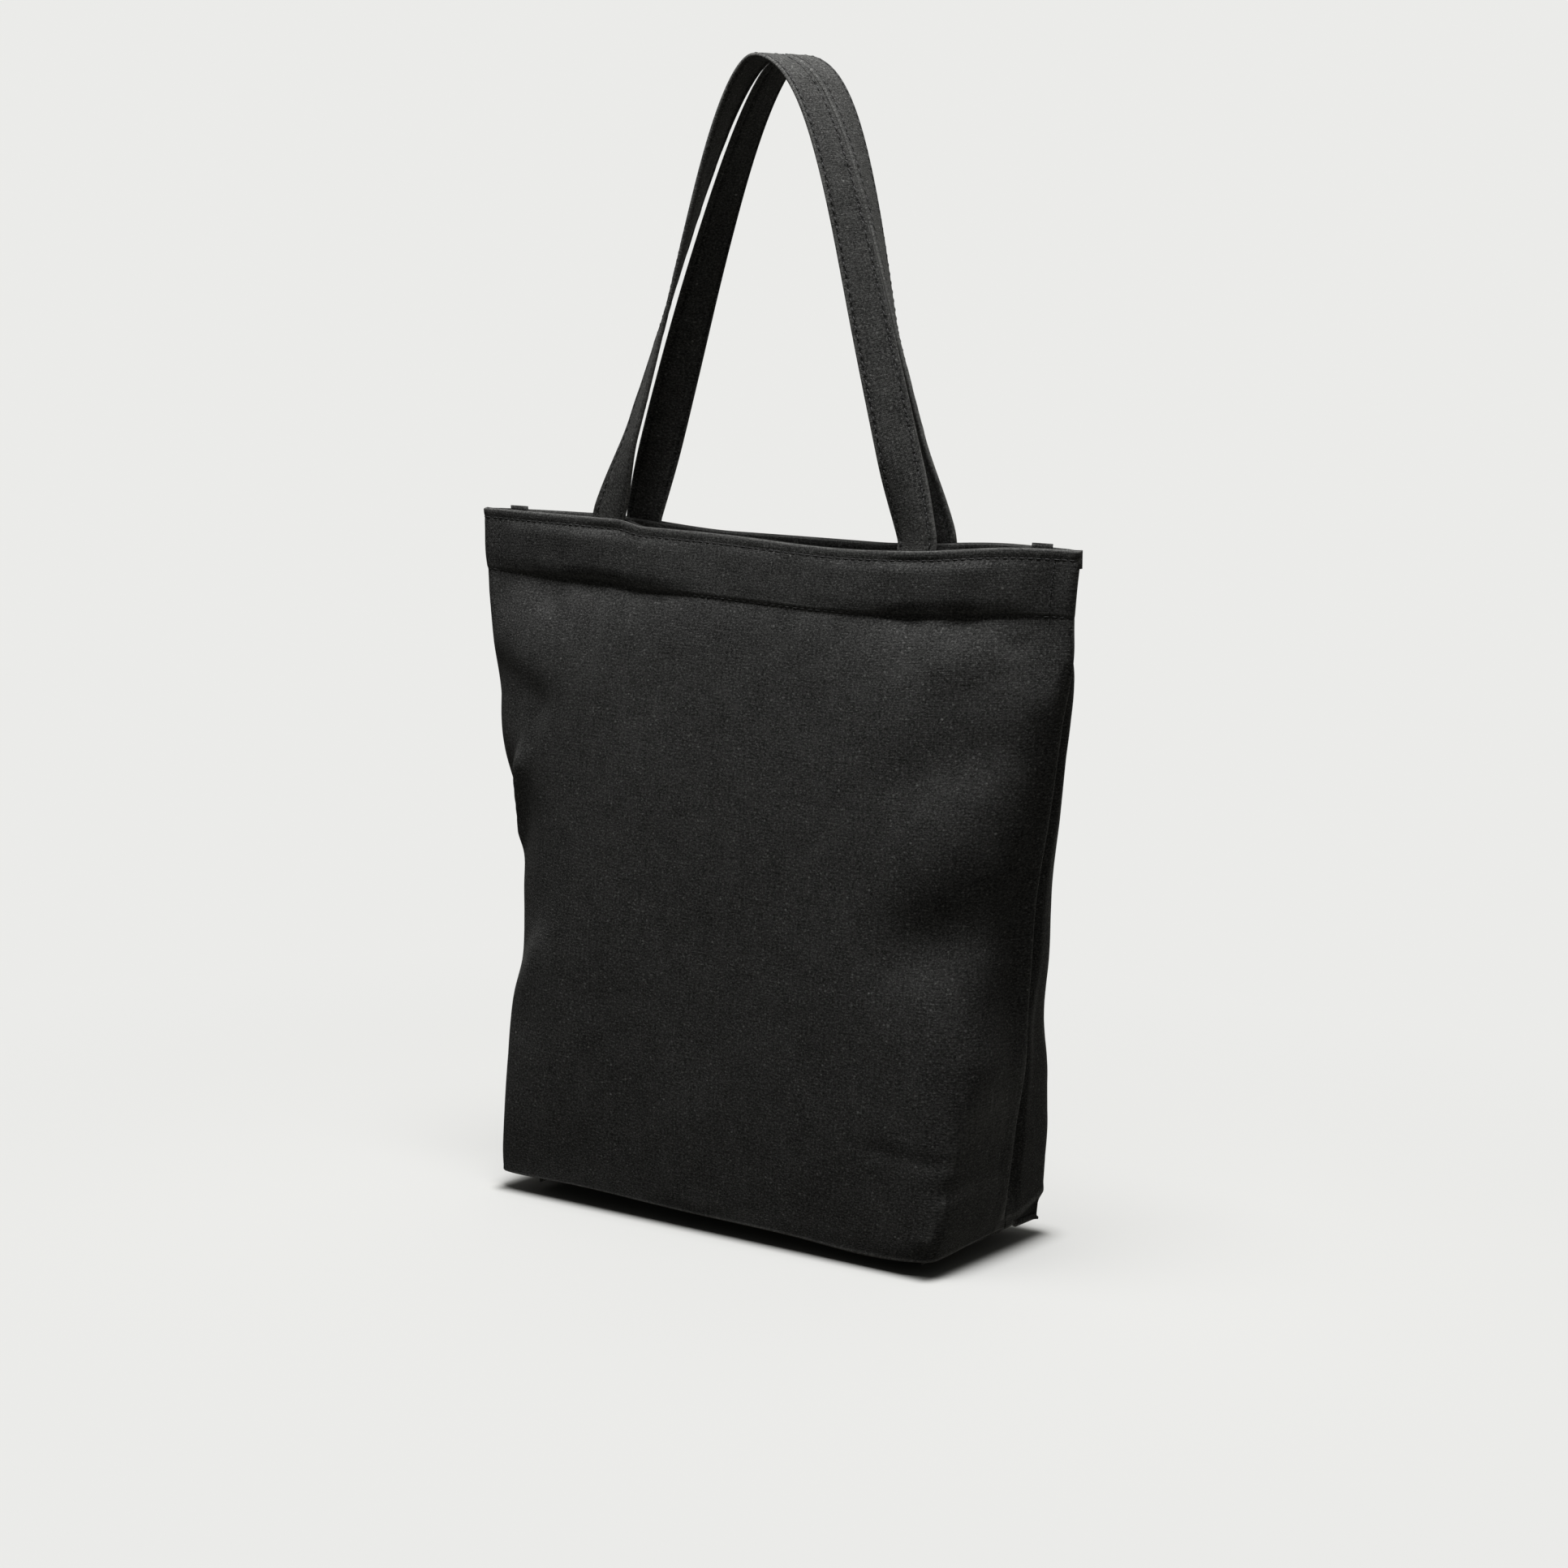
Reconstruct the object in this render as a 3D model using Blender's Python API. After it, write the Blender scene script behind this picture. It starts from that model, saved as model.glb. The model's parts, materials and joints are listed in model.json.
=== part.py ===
"""Canvas tote bag with a boxed base, a faced mouth and two twisted strap handles.

The bag is sewn from a front and a back panel that meet at the side seams and at a seam
along the middle of the base. A facing lines the mouth, and the ends of the handles are
sewn in between the facing and the panel. The frame has its origin on the floor under the
middle of the base, +X to the right of someone facing the front, -Y to the front, +Z up.
"""

from math import atan, cos, pi, radians, sin

import bmesh
import bpy
import numpy as np
from mathutils import Matrix, Vector

# Bag body, in metres
RIM_WIDTH = 0.385  # flat width of the cloth, side seam to side seam
BODY_HEIGHT = 0.364
BASE_DEPTH = 0.105
BASE_EDGE_RADIUS = 0.010
MOUTH_DEPTH = 0.028  # front to back at the middle of the mouth
WIDTH_FLARE = 1.1  # half width grows with height to this power
DEPTH_TAPER = 2.2  # depth is lost with height to this power
MOUTH_POWER = 1.3  # power of the section's depth at the mouth
FLOOR_EXTRA_POWER = 0.6  # added to that power at the floor
EXTRA_POWER_FADE = 0.7
BASE_SQUARENESS = 28  # added to the section's powers at the floor
SQUARENESS_FADE = 0.045  # height over which that squareness falls to about a third
MIDDLE_FULLNESS = 0.9  # added to the section's powers below the facing
FULLNESS_FADE = 0.10  # height over which that fullness comes in
FACING_DEPTH = 0.032
FACING_INSET = 0.016  # from the side seam to the end of the facing
RIM_STITCH_DROP = 0.004
TACK_INSET = 0.014  # upright tack stitch, in from the side seam
TACK_CLEARANCE = 0.002  # from the ends of the tack stitch to the rows above and below it
PANEL_CLOTH = 0.0012
FACING_CLOTH = 0.0010
ALLOWANCE_WIDTH = 0.012
ALLOWANCE_THICKNESS = 0.0016
SIDE_ALLOWANCE_INSET = 0.004  # from the side seam to the side seam allowance
RIM_ALLOWANCE_INSET = 0.014  # added to that inset at the rim, clear of the narrowing mouth
INSET_START = 0.09  # below the rim, where that extra inset begins
INSET_LENGTH = 0.06
SIDE_ALLOWANCE_CLEARANCE = 0.004  # over the corner seam allowance
BASE_ALLOWANCE_CLEARANCE = 0.012  # from the ends of the base seam allowance to the corners
CORNER_ALLOWANCE_CLEARANCE = 0.006
TAB_RISE = 0.003  # how far the side seam allowance stands above the rim
GAP = 0.0003
STRAP_ROOM_EASE = 0.002  # beside a sewn-in strap, before the facing closes on the panel
STRAP_ROOM_FADE = 0.016
SEAM_HALF_GAP = 0.0006  # from a panel's outer edge to the plane between the panels

# Handles
STRAP_WIDTH = 0.024
STRAP_THICKNESS = 0.0022
LEG_X = 0.094  # middle of a strap at the rim
LOOP_TOP = 0.605  # middle of the strap's thickness at the top of the loop
LOOP_POWER = 1.8  # a loop's height below its top grows with its half width to this power
LOOP_SHIFT = 0.012  # how far the tops of the loops lean to the bag's right
END_DEPTH = 0.028  # sewn-in length of a handle's end
APEX_GAP = 0.0006  # from a strap's edge to the plane between the two loops
PIVOT_FORWARD = 0.0023
PIVOT_RISE = 0.004
TWIST_POWER = 1.4

# Threads
THREAD = 0.0005
OUTER_ROW_INSET = 0.0036  # stitch rows, in from the two edges of a strap
INNER_ROW_INSET = 0.0022

# Mesh density
GUSSET_COLUMNS = 4
FACE_COLUMNS = 20
WALL_ROWS = 15
EDGE_ROWS = 3
LOOP_STEPS = 56
SECTION_STEPS = 400  # points on a section's curve before it is spaced by length
PROFILE_STEPS = 160  # the same for a loop
FACING_ROWS = 4
FACING_HALF_COLUMNS = 22
ALLOWANCE_ROWS = 20
RING_POINTS = 57  # points of a stitch row across one side of the bag
END_ROWS = 5
TACK_ROWS = 5

HALF_RIM = RIM_WIDTH / 2
HALF_BASE_DEPTH = BASE_DEPTH / 2
HALF_BASE_WIDTH = HALF_RIM - HALF_BASE_DEPTH
COLUMNS = FACE_COLUMNS + 2 * GUSSET_COLUMNS


# ---------------------------------------------------------------- body outline


def half_width(z):
    """Distance from the middle of the bag to its side seam at height z."""
    rise = min(max(z / BODY_HEIGHT, 0.0), 1.0)
    return HALF_BASE_WIDTH + (HALF_RIM - HALF_BASE_WIDTH) * rise**WIDTH_FLARE


def half_depth(z):
    """Distance from the middle of the bag to its front face at height z."""
    rise = min(max(z / BODY_HEIGHT, 0.0), 1.0)
    return MOUTH_DEPTH / 2 + (HALF_BASE_DEPTH - MOUTH_DEPTH / 2) * (1 - rise**DEPTH_TAPER)


def section_powers(z):
    """Powers of the section's curve: a box below, fuller in the middle, a lens at the mouth."""
    rise = min(max(z / BODY_HEIGHT, 0.0), 1.0)
    squareness = BASE_SQUARENESS * np.exp(-z / SQUARENESS_FADE)
    share = min(max((BODY_HEIGHT - FACING_DEPTH - THREAD - z) / FULLNESS_FADE, 0.0), 1.0)
    squareness += MIDDLE_FULLNESS * share * share * (3 - 2 * share)
    return 2 + squareness, MOUTH_POWER + FLOOR_EXTRA_POWER * (1 - rise) ** EXTRA_POWER_FADE + squareness


def outer_depth(x, z):
    """Distance of the panel's outer face from the plane between the panels."""
    width_power, depth_power = section_powers(z)
    across = min(abs(x) / half_width(z), 1.0)
    bulge = half_depth(z) - SEAM_HALF_GAP
    return SEAM_HALF_GAP + bulge * (1 - across**width_power) ** (1 / depth_power)


def column_places():
    """Places of the columns from side seam to side seam, as shares of half the cloth's width."""
    corner = HALF_BASE_WIDTH / HALF_RIM
    left = np.linspace(-1, -corner, GUSSET_COLUMNS + 1)
    face = np.linspace(-corner, corner, FACE_COLUMNS + 1)
    return list(left) + list(face[1:]) + list(-left[::-1][1:])


def section(z, inset, places):
    """Points (x, depth) of the outer face at height z, spaced by length along the cloth."""
    width_power, depth_power = section_powers(z)
    angles = np.linspace(0, pi / 2, SECTION_STEPS)
    xs = (half_width(z) - inset) * np.abs(np.sin(angles)) ** (2 / width_power)
    bulge = half_depth(z) - inset - SEAM_HALF_GAP
    depths = SEAM_HALF_GAP + bulge * np.abs(np.cos(angles)) ** (2 / depth_power)
    steps = np.hypot(np.diff(xs), np.diff(depths))
    length = np.concatenate(([0], np.cumsum(steps)))
    length /= length[-1]
    points = []
    for place in places:
        x = float(np.interp(abs(place), length, xs))
        depth = float(np.interp(abs(place), length, depths))
        points.append((x if place > 0 else -x, depth))
    return points


# ---------------------------------------------------------------- mesh helpers


def clear_scene():
    for item in list(bpy.data.objects):
        bpy.data.objects.remove(item, do_unlink=True)


def make_material(name, colour, roughness):
    material = bpy.data.materials.new(name)
    material.use_nodes = True
    shader = material.node_tree.nodes["Principled BSDF"]
    shader.inputs["Base Color"].default_value = (*colour, 1)
    shader.inputs["Roughness"].default_value = roughness
    shader.inputs["Metallic"].default_value = 0
    material.diffuse_color = (*colour, 1)
    return material


def canvas():
    return make_material("washed_black_canvas", (0.022, 0.022, 0.023), 0.92)


def lining_canvas():
    return make_material("facing_canvas", (0.024, 0.024, 0.025), 0.92)


def strap_canvas():
    return make_material("strap_canvas", (0.020, 0.020, 0.021), 0.9)


def raw_edge_cloth():
    return make_material("seam_allowance_canvas", (0.018, 0.018, 0.019), 0.95)


def thread():
    return make_material("black_thread", (0.012, 0.012, 0.013), 0.75)


def add_object(name, mesh_builder, material):
    """Makes a named object from a bmesh, with its faces pointing out."""
    bmesh.ops.recalc_face_normals(mesh_builder, faces=mesh_builder.faces)
    mesh = bpy.data.meshes.new(name)
    mesh_builder.to_mesh(mesh)
    mesh_builder.free()
    mesh.materials.append(material)
    mesh.shade_smooth()
    mesh.set_sharp_from_angle(angle=radians(35))
    item = bpy.data.objects.new(name, mesh)
    bpy.context.scene.collection.objects.link(item)
    return item


def skin_from_grid(rows):
    """An open surface from rows of points with the same number of points in each."""
    skin = bmesh.new()
    grid = [[skin.verts.new(point) for point in row] for row in rows]
    for upper, lower in zip(grid, grid[1:]):
        for i in range(len(upper) - 1):
            skin.faces.new((upper[i], upper[i + 1], lower[i + 1], lower[i]))
    return skin, grid


def thicken(skin, thickness, side):
    """Closes a skin into a solid by an inner face, kept on its own side of the seam plane."""
    skin.normal_update()
    seam_limit = GAP / 2
    faces = list(skin.faces)
    edges = [edge for edge in skin.edges if edge.is_boundary]
    inner = {}
    for vert in list(skin.verts):
        place = vert.co - vert.normal * thickness
        place.y = side * max(side * place.y, seam_limit)
        inner[vert] = skin.verts.new(place)
    for face in faces:
        skin.faces.new([inner[vert] for vert in reversed(face.verts)])
    for edge in edges:
        first, second = edge.verts
        skin.faces.new((first, second, inner[second], inner[first]))
    return skin


def sweep(centres, across, up, width, thickness, closed=False):
    """A strip with a rectangular section along a line of centres."""
    strip = bmesh.new()
    rings = []
    for centre, sideways, outward in zip(centres, across, up):
        half_side = sideways * (width / 2)
        half_up = outward * (thickness / 2)
        corners = (half_side + half_up, half_up - half_side, -half_side - half_up, half_side - half_up)
        rings.append([strip.verts.new(centre + corner) for corner in corners])
    pairs = list(zip(rings, rings[1:]))
    if closed:
        pairs.append((rings[-1], rings[0]))
    for ring, following in pairs:
        for i in range(4):
            j = (i + 1) % 4
            strip.faces.new((ring[i], ring[j], following[j], following[i]))
    if not closed:
        strip.faces.new(rings[0])
        strip.faces.new(rings[-1])
    return strip


# ---------------------------------------------------------------- body pieces


def panel_rows(side):
    """Rows of outer points from the rim down and round the lower edge, front side = -1."""
    places = column_places()
    rows = []
    for z in np.linspace(BODY_HEIGHT, BASE_EDGE_RADIUS, WALL_ROWS + 1):
        rows.append([Vector((x, side * depth, z)) for x, depth in section(z, 0, places)])
    for step in range(1, EDGE_ROWS + 1):
        angle = step / EDGE_ROWS * pi / 2
        z = BASE_EDGE_RADIUS * (1 - sin(angle))
        inset = BASE_EDGE_RADIUS * (1 - cos(angle))
        outline = section(BASE_EDGE_RADIUS, inset, places)
        rows.append([Vector((x, side * depth, z)) for x, depth in outline])
    return rows


def add_base_half(skin, lowest, side):
    """Fills the flat base between a panel's lowest row and the seam along the middle."""
    left = lowest[: GUSSET_COLUMNS + 1][::-1]
    right = lowest[-GUSSET_COLUMNS - 1 :]
    front = lowest[GUSSET_COLUMNS : GUSSET_COLUMNS + FACE_COLUMNS + 1]
    grid = [front]
    for k in range(1, GUSSET_COLUMNS + 1):
        row = [left[k]]
        inward = k / GUSSET_COLUMNS
        for j in range(1, FACE_COLUMNS):
            share = j / FACE_COLUMNS
            straight_x = left[k].co.x * (1 - share) + right[k].co.x * share
            front_line = left[0].co.x * (1 - share) + right[0].co.x * share
            x = straight_x + (front[j].co.x - front_line) * (1 - inward)
            front_y = front[j].co.y - left[0].co.y
            y = left[k].co.y + front_y * (1 - inward)
            row.append(skin.verts.new((x, y, 0)))
        row.append(right[k])
        grid.append(row)
    for upper, lower in zip(grid, grid[1:]):
        for j in range(FACE_COLUMNS):
            skin.faces.new((upper[j], upper[j + 1], lower[j + 1], lower[j]))


def add_panel(name, side, material):
    skin, grid = skin_from_grid(panel_rows(side))
    add_base_half(skin, grid[-1], side)
    bmesh.ops.recalc_face_normals(skin, faces=skin.faces)
    skin.normal_update()
    middle = grid[WALL_ROWS // 2][COLUMNS // 2]
    if middle.normal.y * side < 0:
        bmesh.ops.reverse_faces(skin, faces=skin.faces)
    add_object(name, thicken(skin, PANEL_CLOTH, side), material)


def strap_room(x):
    """Space between the panel and the facing: wide at the sewn-in straps, closed elsewhere."""
    away = max(abs(abs(x) - LEG_X) - STRAP_WIDTH / 2 - STRAP_ROOM_EASE, 0.0)
    fade = max(1 - away / STRAP_ROOM_FADE, 0.0)
    return 1.5 * GAP + (STRAP_THICKNESS + 2 * GAP) * fade**2 * (3 - 2 * fade)


def facing_depth(x, z):
    return outer_depth(x, z) - PANEL_CLOTH - strap_room(x)


def add_facing(name, side, material):
    """The band that lines the mouth, from just under the rim down to the facing stitch."""
    rows = []
    for z in np.linspace(BODY_HEIGHT - GAP, BODY_HEIGHT - FACING_DEPTH, FACING_ROWS):
        reach = half_width(z) - FACING_INSET
        steps = range(-FACING_HALF_COLUMNS, FACING_HALF_COLUMNS + 1)
        xs = [reach * sin(pi / 2 * k / FACING_HALF_COLUMNS) for k in steps]
        rows.append([Vector((x, side * facing_depth(x, z), z)) for x in xs])
    skin, grid = skin_from_grid(rows)
    skin.normal_update()
    if grid[1][FACING_HALF_COLUMNS].normal.y * side < 0:
        bmesh.ops.reverse_faces(skin, faces=skin.faces)
    add_object(name, thicken(skin, FACING_CLOTH, side), material)


def add_side_allowance(name, hand, material):
    """Seam allowance that stands in from a side seam, its top just above the rim."""
    centres = []
    lowest = BASE_EDGE_RADIUS + ALLOWANCE_WIDTH + SIDE_ALLOWANCE_CLEARANCE
    for z in np.linspace(lowest, BODY_HEIGHT + TAB_RISE, ALLOWANCE_ROWS):
        near_rim = min(max((z - BODY_HEIGHT + INSET_START) / INSET_LENGTH, 0.0), 1.0)
        from_seam = SIDE_ALLOWANCE_INSET + RIM_ALLOWANCE_INSET * near_rim
        x = half_width(z) - from_seam - ALLOWANCE_WIDTH / 2
        centres.append(Vector((hand * x, 0, z)))
    across = [Vector((1, 0, 0))] * len(centres)
    outward = [Vector((0, 1, 0))] * len(centres)
    strip = sweep(centres, across, outward, ALLOWANCE_WIDTH, ALLOWANCE_THICKNESS)
    add_object(name, strip, material)


def add_base_allowance(material):
    """Seam allowance pressed flat over the seam along the middle of the base."""
    reach = HALF_BASE_WIDTH - BASE_EDGE_RADIUS - BASE_ALLOWANCE_CLEARANCE
    z = PANEL_CLOTH + GAP + ALLOWANCE_THICKNESS / 2
    centres = [Vector((x, 0, z)) for x in (-reach, reach)]
    across = [Vector((0, 1, 0))] * 2
    outward = [Vector((0, 0, 1))] * 2
    strip = sweep(centres, across, outward, ALLOWANCE_WIDTH, ALLOWANCE_THICKNESS)
    add_object("base_seam_allowance", strip, material)


def add_corner_allowance(name, hand, material):
    """Seam allowance that stands up inside the seam across a boxed corner."""
    reach = HALF_BASE_DEPTH - BASE_EDGE_RADIUS - CORNER_ALLOWANCE_CLEARANCE
    x = hand * (HALF_BASE_WIDTH - BASE_EDGE_RADIUS - SIDE_ALLOWANCE_INSET)
    z = PANEL_CLOTH + GAP + ALLOWANCE_WIDTH / 2
    centres = [Vector((x, y, z)) for y in (-reach, reach)]
    across = [Vector((0, 0, 1))] * 2
    outward = [Vector((1, 0, 0))] * 2
    strip = sweep(centres, across, outward, ALLOWANCE_WIDTH, ALLOWANCE_THICKNESS)
    add_object(name, strip, material)


def add_ring_stitch(name, drop, material):
    """A row of thread right round the outside of the mouth, at one distance below the rim."""
    z = BODY_HEIGHT - drop
    places = np.linspace(-1, 1, RING_POINTS)
    front = [(x, -depth) for x, depth in section(z, 0, places)]
    back = [(x, -y) for x, y in front[::-1]]
    loop = front + back
    stand_off = GAP + THREAD / 2
    centres, across, outward = [], [], []
    for i, (x, y) in enumerate(loop):
        before = loop[i - 1]
        after = loop[(i + 1) % len(loop)]
        along = Vector((after[0] - before[0], after[1] - before[1], 0)).normalized()
        normal = along.cross(Vector((0, 0, 1)))
        centres.append(Vector((x, y, z)) + normal * stand_off)
        across.append(Vector((0, 0, 1)))
        outward.append(normal)
    add_object(name, sweep(centres, across, outward, THREAD, THREAD, closed=True), material)


def add_tack(name, hand, material):
    """An upright row of thread that tacks the seam allowance through the front of the facing."""
    highest = BODY_HEIGHT - RIM_STITCH_DROP - TACK_CLEARANCE
    lowest = BODY_HEIGHT - FACING_DEPTH + TACK_CLEARANCE
    centres = []
    for z in np.linspace(highest, lowest, TACK_ROWS):
        x = half_width(z) - TACK_INSET
        depth = outer_depth(x, z) + GAP + THREAD / 2
        centres.append(Vector((hand * x, -depth, z)))
    across = [Vector((1, 0, 0))] * len(centres)
    outward = [Vector((0, 1, 0))] * len(centres)
    add_object(name, sweep(centres, across, outward, THREAD, THREAD), material)


# ---------------------------------------------------------------- handles


def lie_angle(z):
    """Angle of a sewn-in strap to the X axis where it lies along the curved panel."""
    step = 0.001
    rise = outer_depth(LEG_X - step, z) - outer_depth(LEG_X + step, z)
    return atan(rise / (2 * step))


def leg_depth(z):
    """Distance of the middle of a sewn-in strap from the plane between the panels."""
    return outer_depth(LEG_X, z) - PANEL_CLOTH - GAP - STRAP_THICKNESS / 2


def add_handle_end(name, side, hand, material):
    """The end of a handle, sewn in between the panel and the facing."""
    centres, across, outward = [], [], []
    for z in np.linspace(BODY_HEIGHT - END_DEPTH, BODY_HEIGHT + GAP, END_ROWS):
        angle = -side * hand * lie_angle(min(z, BODY_HEIGHT))
        depth = leg_depth(min(z, BODY_HEIGHT))
        centres.append(Vector((hand * LEG_X, side * depth, z)))
        across.append(Vector((cos(angle), sin(angle), 0)))
        outward.append(Vector((-sin(angle), cos(angle), 0)))
    add_object(name, sweep(centres, across, outward, STRAP_WIDTH, STRAP_THICKNESS), material)


def loop_profile():
    """Points (x, height) of a loop's middle line from the right leg over the top to the left."""
    foot = BODY_HEIGHT + 3 * GAP
    rise = LOOP_TOP - foot
    shares = np.linspace(1, -1, PROFILE_STEPS + 1)
    widths = np.sign(shares) * np.abs(shares) ** (2 / LOOP_POWER)
    heights = rise * (1 - shares**2)
    return LEG_X * widths + LOOP_SHIFT * heights / rise, foot + heights


def loop_frames(side):
    """Centres, width directions and outward normals along a loop, from its right leg to its left.

    The strap lies along the panel at the rim and turns a quarter turn on the way up, so that
    its outer face is on top where the two loops lie edge to edge.
    """
    xs, zs = loop_profile()
    length = np.concatenate(([0], np.cumsum(np.hypot(np.diff(xs), np.diff(zs)))))
    places = np.linspace(0, length[-1], LOOP_STEPS + 1)
    x = np.interp(places, length, xs)
    z = np.interp(places, length, zs)
    foot_depth = leg_depth(BODY_HEIGHT)
    apex_depth = STRAP_WIDTH / 2 + APEX_GAP
    foot_angle = lie_angle(BODY_HEIGHT)
    twist = []
    for place in places:
        up_leg = 1 - abs(2 * place / length[-1] - 1)
        twist.append(foot_angle + (pi / 2 - foot_angle) * (1 - (1 - up_leg) ** TWIST_POWER))
    centres, across, outward = [], [], []
    for i in range(LOOP_STEPS + 1):
        depth = foot_depth + (apex_depth - foot_depth) * sin(twist[i]) ** 2
        centres.append(Vector((x[i], side * depth, z[i])))
    for i in range(LOOP_STEPS + 1):
        along = centres[min(i + 1, LOOP_STEPS)] - centres[max(i - 1, 0)]
        along.normalize()
        if i == 0 or i == LOOP_STEPS:
            along = Vector((0, 0, 1 if i == 0 else -1))
        hand = 1 if i <= LOOP_STEPS / 2 else -1
        angle = -side * twist[i]
        inward = Vector((-cos(angle) * hand, -sin(angle), 0))
        inward = (inward - along * inward.dot(along)).normalized()
        across.append(inward)
        outward.append(along.cross(inward) * -side)
    return centres, across, outward


def add_handle(name, side, material):
    centres, across, outward = loop_frames(side)
    return add_object(name, sweep(centres, across, outward, STRAP_WIDTH, STRAP_THICKNESS), material)


def add_strap_row(name, side, offset, material):
    """A row of thread along a strap's outer face, at an offset towards the inner edge."""
    centres, across, outward = loop_frames(side)
    stand_off = STRAP_THICKNESS / 2 + 2 * GAP + THREAD / 2
    lifted = []
    for centre, inward, normal in zip(centres, across, outward):
        lifted.append(centre + inward * offset + normal * stand_off)
    return add_object(name, sweep(lifted, across, outward, THREAD, THREAD), material)


def set_pivot(items, side):
    """Moves the origins of a handle's pieces to its hinge line, leaving the pieces in place."""
    pivot = Vector((0, side * (leg_depth(BODY_HEIGHT) + PIVOT_FORWARD), BODY_HEIGHT + PIVOT_RISE))
    for item in items:
        item.data.transform(Matrix.Translation(-pivot))
        item.location = pivot


# ---------------------------------------------------------------- assembly


def build():
    clear_scene()
    cloth = canvas()
    facing_cloth = lining_canvas()
    strap_cloth = strap_canvas()
    edge_cloth = raw_edge_cloth()
    stitching = thread()
    sides = {"front": -1, "back": 1}
    hands = {"left": -1, "right": 1}

    for side_name, side in sides.items():
        add_panel(f"{side_name}_panel", side, cloth)
        add_facing(f"{side_name}_facing", side, facing_cloth)
    for hand_name, hand in hands.items():
        add_side_allowance(f"{hand_name}_side_seam_allowance", hand, edge_cloth)
        add_corner_allowance(f"{hand_name}_corner_seam_allowance", hand, edge_cloth)
        add_tack(f"{hand_name}_tack_stitch", hand, stitching)
    add_base_allowance(edge_cloth)
    add_ring_stitch("rim_topstitch", RIM_STITCH_DROP, stitching)
    add_ring_stitch("facing_stitch", FACING_DEPTH, stitching)

    outer_offset = OUTER_ROW_INSET - STRAP_WIDTH / 2
    inner_offset = STRAP_WIDTH / 2 - INNER_ROW_INSET
    for side_name, side in sides.items():
        for hand_name, hand in hands.items():
            add_handle_end(f"{side_name}_{hand_name}_handle_end", side, hand, strap_cloth)
        handle = add_handle(f"{side_name}_handle", side, strap_cloth)
        outer_row = add_strap_row(f"{side_name}_handle_outer_stitch", side, outer_offset, stitching)
        inner_row = add_strap_row(f"{side_name}_handle_inner_stitch", side, inner_offset, stitching)
        set_pivot((handle, outer_row, inner_row), side)


build()
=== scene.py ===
"""Looks of the canvas tote bag: sewn cloth, twisted straps, stitches, floor, light and camera."""

import json
from math import atan, cos, pi, radians, sin

import bmesh
import bpy
import numpy as np
from mathutils import Matrix, Vector


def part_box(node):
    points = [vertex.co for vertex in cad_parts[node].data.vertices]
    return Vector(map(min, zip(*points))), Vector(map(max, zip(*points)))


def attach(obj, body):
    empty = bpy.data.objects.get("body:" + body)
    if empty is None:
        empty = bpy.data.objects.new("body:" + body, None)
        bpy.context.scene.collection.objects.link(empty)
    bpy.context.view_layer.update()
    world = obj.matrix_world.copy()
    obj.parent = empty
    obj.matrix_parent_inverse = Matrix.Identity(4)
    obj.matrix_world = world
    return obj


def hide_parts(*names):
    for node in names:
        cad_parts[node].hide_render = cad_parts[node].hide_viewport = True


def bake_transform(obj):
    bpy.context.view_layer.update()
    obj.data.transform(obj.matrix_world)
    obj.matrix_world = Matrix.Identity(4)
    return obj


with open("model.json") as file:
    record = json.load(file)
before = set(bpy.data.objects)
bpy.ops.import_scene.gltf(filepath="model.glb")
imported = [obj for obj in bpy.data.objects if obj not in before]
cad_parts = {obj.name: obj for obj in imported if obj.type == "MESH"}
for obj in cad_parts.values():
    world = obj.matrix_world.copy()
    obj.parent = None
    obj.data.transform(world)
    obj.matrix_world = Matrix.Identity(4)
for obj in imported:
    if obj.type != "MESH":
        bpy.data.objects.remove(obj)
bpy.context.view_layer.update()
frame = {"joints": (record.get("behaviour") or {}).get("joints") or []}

# ---------------------------------------------------------------- sizes from the frame

FRONT_LOW, FRONT_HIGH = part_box("front_panel")
HALF_RIM = FRONT_HIGH.x
BODY_HEIGHT = FRONT_HIGH.z
HALF_BASE_DEPTH = -FRONT_LOW.y
HALF_BASE_WIDTH = HALF_RIM - HALF_BASE_DEPTH
FACING_DEPTH = BODY_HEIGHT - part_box("front_facing")[0].z
RIM_STITCH_DROP = BODY_HEIGHT - sum(corner.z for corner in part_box("rim_topstitch")) / 2
END_LOW, END_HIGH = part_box("front_right_handle_end")
END_DEPTH = END_HIGH.z - END_LOW.z  # sewn-in length of a strap's end
STRAP_WIDTH = 0.0225
STRAP_THICKNESS = 0.0022
LOOP_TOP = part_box("front_handle")[1].z - STRAP_THICKNESS / 2
FRONT_JOINT, BACK_JOINT = frame["joints"]

# ---------------------------------------------------------------- cloth and sewing

CLOTH = 0.0008
ROLL = 0.0009  # radius of the turned edge at the rim
TURN_IN = 0.008  # width of the cloth turned in at the rim
MOUTH_DEPTH = 0.028  # front to back at the middle of the mouth
WIDTH_FLARE = 1.1  # half width grows with height to this power
DEPTH_TAPER = 2.2  # depth is lost with height to this power
MOUTH_POWER = 1.3  # power of the section's depth at the mouth
FLOOR_EXTRA_POWER = 0.6  # added to that power at the floor
EXTRA_POWER_FADE = 0.7
SEAM_HALF_GAP = 0.0006  # from a panel's edge to the plane between the panels
SEAM_LIMIT = 0.00025  # no cloth comes nearer to that plane than this
EDGE_RADIUS = 0.0022  # of the fold between a panel's wall and its half of the base
BASE_SQUARENESS = 40  # added to the section's powers at the floor
SQUARENESS_FADE = 0.045  # height over which that squareness falls to about a third
MIDDLE_FULLNESS = 1.6  # added to the section's powers below the facing
FULLNESS_FADE = 0.05  # height over which that fullness comes in
ALLOWANCE_WIDTH = 0.012
EDGE_LIFT = 0.0080  # how far the base's edges stand off the floor
SIDE_LENGTH = 0.047  # from a side seam to the upright corner next to it, along the base
STITCH_PITCH = 0.0046
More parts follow.
